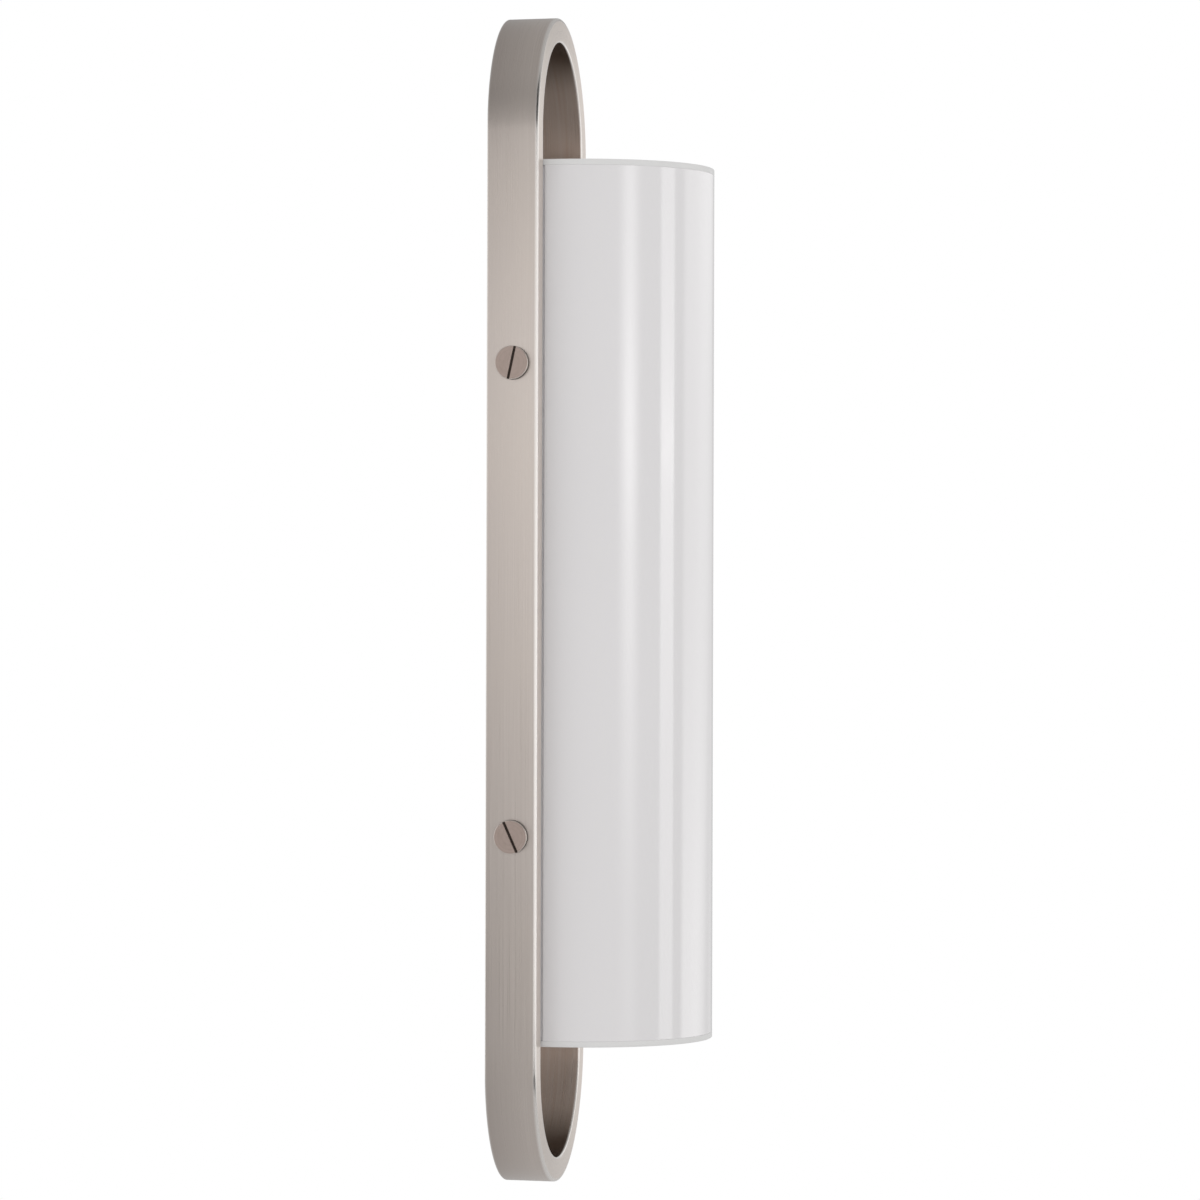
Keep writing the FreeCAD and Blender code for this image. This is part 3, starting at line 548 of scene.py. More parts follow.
def end_cap(inner_z, outer_z):
    """Point = centre + share times (outline - centre), where shares run out, up and back in."""
    outline = cap_outline()
    centre = np.array([0.0, -(shade_back + shade_nose) / 2])
    thickness = abs(outer_z - inner_z)
    turn = np.linspace(0, math.pi / 2, RIM_RINGS)
    bond_share, rim_share = 1 - BOND_LINE / shade_half, 1 - CAP_ROUNDING / shade_half
    rim = 1 - CAP_ROUNDING / shade_half * (1 - np.cos(turn))
    inner, outer = np.linspace(0, bond_share, INNER_RINGS), np.linspace(rim_share, 0, OUTER_RINGS + 1)
    shares = np.concatenate([inner, [1.0, 1.0], rim, outer[1:]])
    edge = [BOND_LINE, thickness / 2]
    rim_levels = thickness - CAP_ROUNDING * (1 - np.sin(turn))
    levels = np.concatenate([np.zeros(INNER_RINGS), edge, rim_levels, np.full(OUTER_RINGS, thickness)])
    flat = centre + shares[None, :, None] * (outline - centre)[:, None, :]
    z = inner_z + math.copysign(1.0, outer_z - inner_z) * levels
    points = points_of(flat[..., 0], flat[..., 1], z)
    return {
        "points": points,
        "wrap_rows": True,
        "along": length_along(outline, wrap=True),
        "round": length_along(points[0]),
        "flip": outer_z < inner_z,
    }


for node, name in (("shade_cap_top", "opal_cap_top"), ("shade_cap_bottom", "opal_cap_bottom")):
    low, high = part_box(node)
    inner_z, outer_z = (low.z, high.z) if low.z > 0 else (high.z, low.z)
    cap = make_piece(name, [end_cap(inner_z, outer_z)])
    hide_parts(node)
    print(node, len(cap.data.polygons), "faces")

# %% [markdown]
# ## A short way to write a finish
#
# Each finish is one physically based shader fed by a few nodes: a place on the surface,
# a noise of the right grain, and a blend of two close tones. The class below makes those
# nodes with short calls. Scales are counts per metre, so 1000 means a grain of a
# millimetre. Numbers that are the same all over a surface go on the shader itself.

# %% Finish helper
class Finish:
    """One material: its shader, and short calls for the nodes that feed it."""

    def __init__(self, name, **even):
        self.material = bpy.data.materials.new(name)
        self.material.use_nodes = True
        self.tree = self.material.node_tree
        self.shader = self.tree.nodes["Principled BSDF"]
        for socket, value in even.items():
            self.shader.inputs[socket.replace("_", " ")].default_value = value

    def node(self, kind, inputs=(), **settings):
        """Makes a node, sets its options, and links or fills its numbered or named inputs."""
        made = self.tree.nodes.new(kind)
        for key, value in settings.items():
            setattr(made, key, value)
        for key, value in dict(inputs).items():
            if isinstance(value, bpy.types.NodeSocket):
                self.tree.links.new(value, made.inputs[key])
            else:
                made.inputs[key].default_value = value
        return made

    def feed(self, socket, value):
        """Links a value to a socket of the shader."""
        self.tree.links.new(value, self.shader.inputs[socket])

    def colour(self, factor, first, second):
        """Base colour: a blend of two by a factor."""
        self.feed("Base Color", self.blend(factor, first, second))

    def show(self, result):
        """Puts another shader's result on the surface, and gives back the material."""
        self.tree.links.new(result, self.tree.nodes["Material Output"].inputs["Surface"])
        return self.material

    def place(self, scale=(1, 1, 1), turn=(0, 0, 0)):
        """Object coordinates in metres, turned and then stretched by a scale for each axis."""
        coordinate = self.node("ShaderNodeTexCoord").outputs["Object"]
        inputs = {"Vector": coordinate, "Rotation": turn, "Scale": scale}
        return self.node("ShaderNodeMapping", inputs).outputs["Vector"]

    def on_map(self, scale=(1, 1, 1)):
        """The piece's own map in metres, stretched: first along the piece, then round it."""
        coordinate = self.node("ShaderNodeUVMap", uv_map="surface_map").outputs["UV"]
        inputs = {"Vector": coordinate, "Scale": scale}
        return self.node("ShaderNodeMapping", inputs).outputs["Vector"]

    def split(self, place):
        """The three numbers of a place."""
        return self.node("ShaderNodeSeparateXYZ", {0: place}).outputs

    def mark(self, title):
        """A value that the piece carries on its points."""
        return self.node("ShaderNodeAttribute", attribute_name=title).outputs["Fac"]

    def noise(self, scale, detail=2.0, rough=0.5, stretch=(1, 1, 1), place=None):
        """Cloudy values about a half, on stretched object coordinates or on a given place."""
        where = self.place(stretch) if place is None else place
        inputs = {"Vector": where, "Scale": scale, "Detail": detail, "Roughness": rough}
        return self.node("ShaderNodeTexNoise", inputs).outputs["Fac"]

    def cells(self, scale, output="Distance"):
        """Cells like grains: the distance from each one's seed, or its colour."""
        inputs = {"Vector": self.place(), "Scale": scale}
        return self.node("ShaderNodeTexVoronoi", inputs).outputs[output]

    def math(self, operation, first, second=0.0):
        """One step of arithmetic on two values."""
        inputs = {0: first, 1: second}
        return self.node("ShaderNodeMath", inputs, operation=operation).outputs[0]

    def times(self, first, second):
        """Product of two values."""
        return self.math("MULTIPLY", first, second)

    def from_axis(self, first, second):
        """Distance from an axis: the square root of the sum of two squares."""
        squares = self.times(first, first), self.times(second, second)
        return self.math("SQRT", self.math("ADD", *squares))

    def spread(self, value, low, high, to_low=0.0, to_high=1.0):
        """Carries the range low to high onto the range to_low to to_high, cut off at both ends."""
        inputs = {"Value": value, "From Min": low, "From Max": high, "To Min": to_low, "To Max": to_high}
        return self.node("ShaderNodeMapRange", inputs, clamp=True).outputs["Result"]

    def blend(self, factor, first, second):
        """Mixes two colours by a factor; a colour is three numbers or another blend."""
        made = self.node("ShaderNodeMix", {0: factor}, data_type="RGBA")
        for index, colour in ((6, first), (7, second)):
            if isinstance(colour, bpy.types.NodeSocket):
                self.tree.links.new(colour, made.inputs[index])
            else:
                made.inputs[index].default_value = (*colour, 1.0)
        return made.outputs[2]

    def relief(self, height, distance, strength=0.5):
        """Feeds a bump: height times distance is how far the surface seems to rise, in metres."""
        inputs = {"Height": height, "Distance": distance, "Strength": strength}
        self.feed("Normal", self.node("ShaderNodeBump", inputs).outputs["Normal"])

    def tones(self, scale, first, second, low=0.35, high=0.65, detail=2.0, stretch=(1, 1, 1)):
        """Base colour that wanders between two tones by a noise, which is given back."""
        wander = self.noise(scale, detail, stretch=stretch)
        self.colour(self.spread(wander, low, high), first, second)
        return wander

    def matt(self, value, smoothest, roughest, low=0.3, high=0.7):
        """Roughness that follows a value from its low to its high."""
        self.feed("Roughness", self.spread(value, low, high, smoothest, roughest))


def dress(finish, *names):
    """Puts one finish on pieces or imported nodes, in place of what they had."""
    for name in names:
        thing = frame["nodes"][name] if name in frame["nodes"] else bpy.data.objects[name]
        thing.data.materials.clear()
        thing.data.materials.append(finish.material)
    print(finish.material.name, "on", ", ".join(names))


# %% [markdown]
# ## Brushed nickel
#
# The bar is steel, ground with a belt along its length and then plated. The grain is a
# noise that is stretched very long along the bar and very fine across it, laid over a
# wider streak layer. It moves the tone a little, the roughness more, and lifts a tiny
# relief. The grain also makes reflections spread across the bar and stay sharp along it,
# so the shader's anisotropy is turned by a quarter from the direction of the map. The
# rounded edges are worn smoother and carry a painted highlight, a much brighter colour.
# The inner side carries painted shade, darker and browner, and the inner side of the
# bends, near their top and foot, carries much darker painted shade. Close to the wall the
# bar carries painted shade too, most of all in the bends. The piece carries those places
# as attributes. The flat front is painted brighter, as a painted reflection.

# %% Brushed nickel
NICKEL_LIGHT = (0.680, 0.613, 0.570)
NICKEL_DARK = (0.590, 0.526, 0.483)
# Painted highlight on the rounded edges, which are also worn
NICKEL_EDGE_HIGHLIGHT = (0.930, 0.900, 0.870)
# Painted reflection on the flat front
NICKEL_FRONT_REFLECTION = (0.830, 0.752, 0.690)
# Painted shade on the inner side, and much darker painted shade in the bends
NICKEL_INNER_SHADE = (0.490, 0.372, 0.305)
NICKEL_BEND_SHADE = (0.130, 0.095, 0.072)
NICKEL_CLOUD = (0.660, 0.590, 0.535)
# Painted shade close to the wall
NICKEL_WALL_SHADE = (0.440, 0.390, 0.360)
# Counts per metre along and across the bar
FINE_GRAIN = (15, 6400, 1)
WIDE_STREAKS = (2.5, 1300, 1)
COARSE_GRAIN = (14, 520, 1)
# Distances from the front face, from the wall, and either way from the arc's centre
FRONT_FADE = (0.1 * MM, 0.4 * MM)
WALL_SHADE_FADE = (1 * MM, 21 * MM)
BEND_FADE = (-15 * MM, 15 * MM)

nickel = Finish("brushed_nickel", Metallic=1.0, Anisotropic=0.55, Anisotropic_Rotation=0.25)
fine_grain = nickel.noise(1.0, detail=3.0, place=nickel.on_map(FINE_GRAIN))
streaks = nickel.noise(1.0, detail=2.0, place=nickel.on_map(WIDE_STREAKS))
clouding = nickel.noise(16.0)
grain = nickel.math("ADD", nickel.times(fine_grain, 0.7), nickel.times(streaks, 0.3))
worn_and_lit, bend_shade_mask, inner_side_shade = [nickel.mark(title) for title in ("edge_wear_and_highlight", "inner_bend_shade", "inner_side_shade")]
plate = nickel.blend(nickel.spread(grain, 0.36, 0.64), NICKEL_DARK, NICKEL_LIGHT)
warm = nickel.blend(nickel.spread(clouding, 0.4, 0.6, 0, 0.35), plate, NICKEL_CLOUD)
spot = nickel.split(nickel.place())
# The flat front is painted brighter, as a painted reflection
from_front = nickel.math("ADD", spot[1], frame_depth)
in_front = nickel.spread(from_front, *FRONT_FADE, 0.9, 0.0)
front_reflected = nickel.blend(in_front, warm, NICKEL_FRONT_REFLECTION)
# Painted shade close to the wall, most of all in the bends
from_wall = nickel.times(spot[1], -1.0)
near_wall = nickel.spread(from_wall, *WALL_SHADE_FADE, 1.0, 0.0)
above_arc = nickel.math("SUBTRACT", nickel.math("ABSOLUTE", spot[2]), arc_centre)
most = nickel.spread(above_arc, *BEND_FADE, 0.34, 0.6)
wall_shaded = nickel.blend(nickel.times(near_wall, most), front_reflected, NICKEL_WALL_SHADE)
# Painted shade on the inner side, broken by a coarse grain, and much darker painted shade at the top and
# foot of the bends
coarse = nickel.noise(1.0, detail=3.0, place=nickel.on_map(COARSE_GRAIN))
inner_shade_share = nickel.times(inner_side_shade, nickel.spread(coarse, 0.3, 0.7, 1.0, 0.62))
inside = nickel.blend(inner_shade_share, wall_shaded, NICKEL_INNER_SHADE)
bend_shaded = nickel.blend(bend_shade_mask, inside, NICKEL_BEND_SHADE)
# Painted highlight on the worn rounded edges; the wear also makes them a little smoother
nickel.colour(nickel.times(worn_and_lit, 0.85), bend_shaded, NICKEL_EDGE_HIGHLIGHT)
brushed = nickel.spread(grain, 0.34, 0.66, 0.26, 0.38)
nickel.feed("Roughness", nickel.math("SUBTRACT", brushed, nickel.times(worn_and_lit, 0.08)))
nickel.relief(grain, 4e-6)
grain_way = nickel.node("ShaderNodeTangent", direction_type="UV_MAP", uv_map="surface_map")
nickel.feed("Tangent", grain_way.outputs[0])
dress(nickel, "oval_frame_bar")

# %% [markdown]
# ## Turned nickel screws
#
# The heads come off a lathe, so their marks are rings about each screw's own axis. All
# four axes are level, at the same depth and the same height above or below the middle.
# The height is folded over with its absolute value, and the distance from the axis then
# drives the rings. The slot and the foot of the head's side carry painted shade, much
# darker than the top, and are mostly not metal there. The eased rim is worn and carries a
# painted glint, a bright colour.

# %% Screw finish
SCREW_TONES = (0.462, 0.370, 0.328), (0.518, 0.418, 0.374)
SCREW_SPOTS = (0.400, 0.320, 0.270)
# Painted glint on the worn rim
SCREW_RIM_GLINT = (0.860, 0.810, 0.760)
# Painted shade in the slot and at the foot of the head's side
SLOT_AND_FOOT_SHADE = (0.030, 0.023, 0.018)
# Distances out from the frame's side
SLOT_FADE = (HEAD_HEIGHT - SLOT_DEPTH, HEAD_HEIGHT - 0.2 * MM)
FOOT_FADE = (HEAD_HEIGHT * 0.55, HEAD_HEIGHT * 0.65)
# Distances in from the head's edge
SLOT_END_FADE = (0.4 * MM, 0.5 * MM)
RIM_FADE = (0.2 * MM, 0.32 * MM)

screw = Finish("nickel_screw", Specular_IOR_Level=0.0)
spot = screw.split(screw.place())
aside = screw.math("ADD", spot[1], SCREW_DEPTH)
above = screw.math("SUBTRACT", screw.math("ABSOLUTE", spot[2]), SCREW_HEIGHT)
from_axis = screw.from_axis(aside, above)
ring_place = screw.node("ShaderNodeCombineXYZ", {0: from_axis, 1: spot[0]}).outputs[0]
rings = screw.noise(2600.0, detail=3.0, place=ring_place)
mottle = screw.noise(420.0)
out_from_side = screw.math("SUBTRACT", screw.math("ABSOLUTE", spot[0]), HEAD_SEAT)
in_slot = screw.spread(out_from_side, *SLOT_FADE, 1.0, 0.0)
from_edge = screw.math("SUBTRACT", HEAD_RADIUS, from_axis)
within = screw.spread(from_edge, *SLOT_END_FADE)
# Painted shade at the foot of the head's side
foot_shade_mask = screw.spread(out_from_side, *FOOT_FADE, 1.0, 0.0)
# Painted glint on the eased rim
rim_glint = screw.spread(from_edge, *RIM_FADE, 0.8, 0.0)
# Painted shade in the slot, joined with the foot's painted shade
slot_shade_mask = screw.times(in_slot, within)
painted_shade_mask = screw.math("MAXIMUM", slot_shade_mask, foot_shade_mask)
ring_tone = screw.spread(rings, 0.35, 0.65)
turned = screw.blend(ring_tone, *SCREW_TONES)
spotted = screw.blend(screw.spread(mottle, 0.45, 0.7, 0, 0.3), turned, SCREW_SPOTS)
rim = screw.blend(rim_glint, spotted, SCREW_RIM_GLINT)
shade_share = screw.times(painted_shade_mask, 0.92)
screw.colour(shade_share, rim, SLOT_AND_FOOT_SHADE)
screw.feed("Metallic", screw.math("SUBTRACT", 1.0, shade_share))
screw.matt(rings, 0.38, 0.50)
screw.relief(rings, 2e-6)
dress(screw, "side_screws")

# %% [markdown]
# ## Opal shade and caps
#
# Opal acrylic is clear plastic filled with fine white pigment, so it looks solid and has
# a hard gloss. A glossy white shader with an even index of refraction does this. The
# extruded wall is never quite flat: a slow relief along the tube bends reflections a
# little. The caps are cut and polished by hand and are not as glossy.

# %% Opal finishes
OPAL_INDEX = 1.49
opal = Finish("opal_acrylic", IOR=OPAL_INDEX)
opal.tones(9.0, (0.707, 0.692, 0.698), (0.724, 0.708, 0.715), stretch=(1, 1, 0.3))
ripple = opal.noise(45.0, detail=1.0, stretch=(1, 1, 0.08))
handling = opal.noise(160.0, detail=4.0)
opal.matt(handling, 0.07, 0.12, 0.35, 0.75)
opal.relief(ripple, 1.2e-4)
dress(opal, "opal_shade_body")

opal_end = Finish("opal_cap", IOR=OPAL_INDEX)
opal_end.tones(30.0, (0.680, 0.675, 0.670), (0.705, 0.700, 0.695))
polish = opal_end.noise(700.0, detail=3.0, place=opal_end.place(turn=(0, 0, 0.6)))
opal_end.matt(polish, 0.30, 0.42)
opal_end.relief(polish, 6e-6)
dress(opal_end, "opal_cap_top", "opal_cap_bottom")

# %% [markdown]
# ## Painted and plated steel inside
#
# The pan and the tray are folded from sheet and powder coated white. The powder melts
# into a skin with a soft orange peel, one dimple every few millimetres, and it lies a bit
# thinner and yellower in places. Nuts, studs and standoffs are zinc plated: pale grey
# with patches of two tones where crystals formed, and fine scratches. Spring clips are
# bare hardened strip, darker and smoother, with rolling lines across.

# %% Pan, tray and fastener finishes
paint = Finish("white_paint", IOR=1.5)
paint.tones(14.0, (0.720, 0.715, 0.700), (0.760, 0.757, 0.748))
peel = paint.noise(520.0, detail=1.5, rough=0.4)
paint.matt(paint.noise(60.0, detail=3.0), 0.34, 0.46, 0.35, 0.65)
paint.relief(peel, 3.5e-5, 0.6)
dress(paint, "wall_pan", "led_tray")

zinc = Finish("zinc_steel", Metallic=1.0)
crystal = zinc.node("ShaderNodeSeparateColor", {0: zinc.cells(900.0, "Color")}).outputs[0]
flakes = zinc.blend(crystal, (0.50, 0.51, 0.53), (0.66, 0.67, 0.68))
scratches = zinc.noise(1800.0, detail=4.0, stretch=(1, 1, 9))
zinc.colour(zinc.spread(scratches, 0.5, 0.75, 0, 0.5), flakes, (0.40, 0.40, 0.40))
zinc.matt(scratches, 0.28, 0.50)
zinc.relief(scratches, 5e-6, 0.6)
dress(zinc, "frame_nuts", "tray_standoffs", "base_studs", "base_nuts", "tray_screws")

spring = Finish("spring_steel", Metallic=1.0)
rolled = spring.noise(60.0, detail=3.0, stretch=(1, 1, 40))
spring_tone = spring.spread(rolled, 0.35, 0.65)
spring.colour(spring_tone, (0.34, 0.34, 0.35), (0.47, 0.46, 0.45))
spring.matt(rolled, 0.22, 0.36)
spring.relief(rolled, 3e-6)
dress(spring, "shade_clips")

# %% [markdown]
# ## Brass, green nut, rubber and heat pads
#
# The earth stud is drawn brass that has begun to tarnish in patches. Its hexagonal nut
# is dyed green, as earth screws are. The bushing and the grommet are black rubber with a
# dull bloom, and the heat pads are grey silicone with a fine fabric mark from the liner.

# %% Small part finishes
brass = Finish("brass_stud", Metallic=1.0)
tarnish = brass.tones(260.0, (0.72, 0.52, 0.24), (0.52, 0.36, 0.17), 0.4, 0.7, 3.0)
brass.matt(tarnish, 0.22, 0.42)
brass.relief(brass.noise(900.0, stretch=(1, 12, 1)), 4e-6)
dress(brass, "ground_stud")

green = Finish("green_nut", Metallic=0.85)
dye = green.tones(700.0, (0.03, 0.22, 0.07), (0.06, 0.34, 0.12), 0.35, 0.7, 3.0)
green.matt(dye, 0.30, 0.48)
green.relief(dye, 1e-5)
dress(green, "ground_nut")

rubber = Finish("black_rubber", IOR=1.45)
bloom = rubber.tones(240.0, (0.018, 0.018, 0.019), (0.045, 0.044, 0.043), 0.4, 0.75, 4.0)
rubber.matt(bloom, 0.55, 0.78)
rubber.relief(rubber.noise(2200.0), 1.5e-5)
dress(rubber, "wire_bushing", "tray_grommet")

pad = Finish("grey_pad", IOR=1.4)
weave = pad.cells(1400.0)
pad.tones(500.0, (0.23, 0.24, 0.26), (0.31, 0.32, 0.34))
pad.matt(weave, 0.6, 0.85, 0.0, 0.7)
pad.relief(weave, 2e-5, 0.6)
dress(pad, "heat_pads")

# %% [markdown]
# ## Circuit boards, lamp chips and plastics
#
# The lamp boards are aluminium with a white solder mask, faintly speckled, and the
# driver's board is glass cloth under green mask, where the cloth shows as a fine check.
# The lamp chips are small ceramic blocks with a dome of yellow phosphor gel over them.
# The connectors are glossy white nylon, and the blocks are duller grey nylon.

# %% Board, chip and plastic finishes
mask = Finish("white_board", IOR=1.5)
mask.tones(900.0, (0.74, 0.745, 0.74), (0.79, 0.79, 0.785), 0.3, 0.7, 4.0)
mask.matt(mask.noise(300.0), 0.30, 0.44)
mask.relief(mask.noise(1500.0), 8e-6)
dress(mask, "led_board_upper", "led_board_lower")

CLOTH_SCALE = 6000
circuit = Finish("green_board", IOR=1.5)
spot = circuit.split(circuit.place((CLOTH_SCALE,) * 3))
check = circuit.times(circuit.math("SINE", spot[0]), circuit.math("SINE", spot[2]))
cloth_tone = circuit.spread(check, -1, 1)
circuit.colour(cloth_tone, (0.010, 0.105, 0.045), (0.020, 0.150, 0.065))
circuit.matt(circuit.noise(500.0), 0.24, 0.38)
circuit.relief(check, 6e-6)
dress(circuit, "driver_board")

chip = Finish("lamp_chip", IOR=1.5)
gel = chip.tones(1500.0, (0.80, 0.66, 0.28), (0.84, 0.74, 0.42), 0.3, 0.7)
chip.matt(gel, 0.28, 0.42)
chip.relief(gel, 2e-5)
dress(chip, "led_chips")

nylon = Finish("white_plastic", IOR=1.52)
flow = nylon.tones(300.0, (0.72, 0.71, 0.67), (0.77, 0.76, 0.73), stretch=(1, 1, 0.2))
nylon.matt(flow, 0.22, 0.36)
nylon.relief(nylon.noise(2600.0), 6e-6)
dress(nylon, "board_connectors")

grey_nylon = Finish("grey_plastic", IOR=1.52)
flow = grey_nylon.tones(260.0, (0.26, 0.27, 0.28), (0.32, 0.33, 0.34), stretch=(0.2, 1, 1))
grey_nylon.matt(flow, 0.38, 0.52)
grey_nylon.relief(grey_nylon.noise(3000.0), 1.2e-5, 0.6)
dress(grey_nylon, "terminal_block", "driver_terminals")

# %% [markdown]
# ## The driver's case and parts
#
# The case is pressed from bare aluminium sheet, which keeps fine rolling lines and a few
# smudges. Inside, the transformer's core is charcoal ferrite with a sintered grain, the
# film capacitors sit in moulded cases of a dull mustard yellow, and the choke is wound
# with enamelled copper wire, whose turns are a ripple along its axis.

# %% Driver finishes
pressed = Finish("driver_metal", Metallic=1.0)
lines = pressed.noise(1500.0, detail=3.0, stretch=(1, 1, 0.02))
smudge = pressed.noise(35.0, detail=3.0)
sheet_tone = pressed.blend(pressed.spread(lines, 0.35, 0.65), (0.60, 0.61, 0.62), (0.72, 0.73, 0.74))
smudged = pressed.spread(smudge, 0.5, 0.75, 0, 0.4)
pressed.colour(smudged, sheet_tone, (0.50, 0.50, 0.50))
pressed.matt(smudge, 0.32, 0.48, 0.35, 0.7)
pressed.relief(lines, 4e-6)
dress(pressed, "driver_base", "driver_cover")

ferrite = Finish("ferrite_core", IOR=1.6)
sinter = ferrite.tones(1800.0, (0.030, 0.030, 0.032), (0.065, 0.064, 0.064), 0.35, 0.65, 4.0)
ferrite.matt(sinter, 0.50, 0.72)
ferrite.relief(sinter, 2e-5, 0.7)
dress(ferrite, "driver_transformer")

moulded = Finish("capacitor_case", IOR=1.5)
flow = moulded.tones(420.0, (0.500, 0.370, 0.095), (0.590, 0.460, 0.150), stretch=(0.4, 1, 1))
moulded.matt(flow, 0.28, 0.42)
moulded.relief(moulded.noise(2400.0), 1e-5)
dress(moulded, "driver_capacitors")

WIRE_PITCH = 0.5 * MM
winding = Finish("copper_winding", Metallic=0.9)
spot = winding.split(winding.place())
wave = winding.math("SINE", winding.times(spot[1], 2 * math.pi / WIRE_PITCH))
winding.colour(winding.spread(wave, -1, 1), (0.30, 0.09, 0.03), (0.72, 0.30, 0.13))
winding.matt(winding.noise(900.0), 0.22, 0.40)
winding.relief(wave, 8e-5, 0.6)
dress(winding, "driver_choke")

# %% [markdown]
# ## The pale floor
#
# The light hangs in the air of a white studio, and a pale round floor lies well under it,
# below what the camera sees. The floor is a plain matt surface that keeps the object's
# soft shadow. Towards its rim it turns into the white of the backdrop for the camera and
# for mirror and glass rays, so no edge shows from other sides.

# %% Floor
FLOOR_LEVEL = -0.65
FLOOR_RADIUS = 1.2
PLAIN_RADIUS = 0.35
WHITE_RADIUS = 0.97 * FLOOR_RADIUS
CIRCLE_STEPS = 73


def looked_at(tree):
    """One for camera, mirror and glass rays, and nought for matt light."""
    rays = tree.nodes.new("ShaderNodeLightPath").outputs
    total = rays["Is Camera Ray"]
    for kind in ("Is Glossy Ray", "Is Transmission Ray"):
        both = tree.nodes.new("ShaderNodeMath")
        both.use_clamp = True
        tree.links.new(total, both.inputs[0])
        tree.links.new(rays[kind], both.inputs[1])
        total = both.outputs[0]
    return total


def make_stage_card(name, points, material):
    """A flat grid that isn't part of the object, with a map from nought to one each way."""
    rows, columns = points.shape[:2]
    mesh = bpy.data.meshes.new(name)
    mesh.from_pydata(points.reshape(-1, 3).tolist(), [], grid_faces(rows, columns, False, False).tolist())
    put_map(mesh, grid_map(np.linspace(0, 1, rows), np.linspace(0, 1, columns)))
    mesh.materials.append(material)
    card = put_in_scene(name, mesh)
    return card


floor = Finish("studio_floor")
spot = floor.split(floor.place())
far_out = floor.spread(floor.from_axis(spot[0], spot[1]), PLAIN_RADIUS, WHITE_RADIUS)
floor.tones(6.0, (0.80, 0.80, 0.79), (0.82, 0.82, 0.81))
floor.matt(floor.noise(40.0), 0.8, 0.9)
white = floor.node("ShaderNodeEmission", {"Color": (1, 1, 1, 1), "Strength": 1.0}).outputs[0]
share = floor.times(looked_at(floor.tree), far_out)
mixed = floor.node("ShaderNodeMixShader", {0: share, 1: floor.shader.outputs[0], 2: white})

reach = np.linspace(0.0, FLOOR_RADIUS, 9)[:, None]
turn = np.linspace(0, 2 * math.pi, CIRCLE_STEPS)
make_stage_card("studio_floor", round_upright(reach, turn, FLOOR_LEVEL), floor.show(mixed.outputs[0]))
print("floor radius", FLOOR_RADIUS)

# %% [markdown]
# ## The studio world
#
# The world is an even white room. For the camera and for mirror and glass rays it has
# a strength of one, which is white. For matt light it is a little lower, and two large
# soft lamps on the left fill the rest, one in front and above and one level with the
# light. So a colour renders about as it is written, and the shapes still turn softly into
# shade.

# %% World and lamps
ROOM_LEVEL = 0.88
# Power, width and place of each lamp
LAMPS = {
    "key_lamp": (2.2, 1.4, Vector((-1.7, -1.1, 1.2))),
    "side_lamp": (3.1, 1.0, Vector((-2.2, -0.05, 0.3))),
}

world = bpy.data.worlds.new("studio_room")
bpy.context.scene.world = world
world.use_nodes = True
tree = world.node_tree
tree.nodes.clear()
level = tree.nodes.new("ShaderNodeMapRange")
level.inputs["To Min"].default_value = ROOM_LEVEL
level.inputs["To Max"].default_value = 1.0
tree.links.new(looked_at(tree), level.inputs["Value"])
sky = tree.nodes.new("ShaderNodeBackground")
sky.inputs["Color"].default_value = (1, 1, 1, 1)
tree.links.new(level.outputs["Result"], sky.inputs["Strength"])
tree.links.new(sky.outputs[0], tree.nodes.new("ShaderNodeOutputWorld").inputs["Surface"])

for name, (power, width, place) in LAMPS.items():
    lamp = bpy.data.lights.new(name, "AREA")
    lamp.size, lamp.energy = width, power
    stand = put_in_scene(name, lamp)
    stand.location = place
    stand.rotation_euler = (-place).to_track_quat("-Z", "Y").to_euler()
    stand.visible_glossy = False
print("room level", ROOM_LEVEL, "and lamps", ", ".join(LAMPS))

# %% [markdown]
# ## Cards that the gloss sees
#
# The gloss of the shade and the metal shows where the lamps and the dark parts of the
# room stood. Each card below is a piece of an upright drum round the light, given by its
# bearing round the upright from +X, and is seen only by mirror rays. A bright narrow card
# makes the sharp line on the shade, two faint ones make the soft bands beside it, and
# grey ones give the metal something darker than white to show. Two dark ones, over and
# under the light, draw the dark hairline on the outer edge of the bends. A card can lean,
# so that its bearing changes with height, and its strength follows stops up its height.
# Its edges fade out, and the room behind shows through there.

# %% Reflection cards
CARD_CENTRE = np.array([0.0, -0.04, 0.0])
CARD_ROWS = 9
CARD_COLUMNS = 17
CARD_END_FADES = (0.08, 0.08)
LEAST_FADE = 1e-3


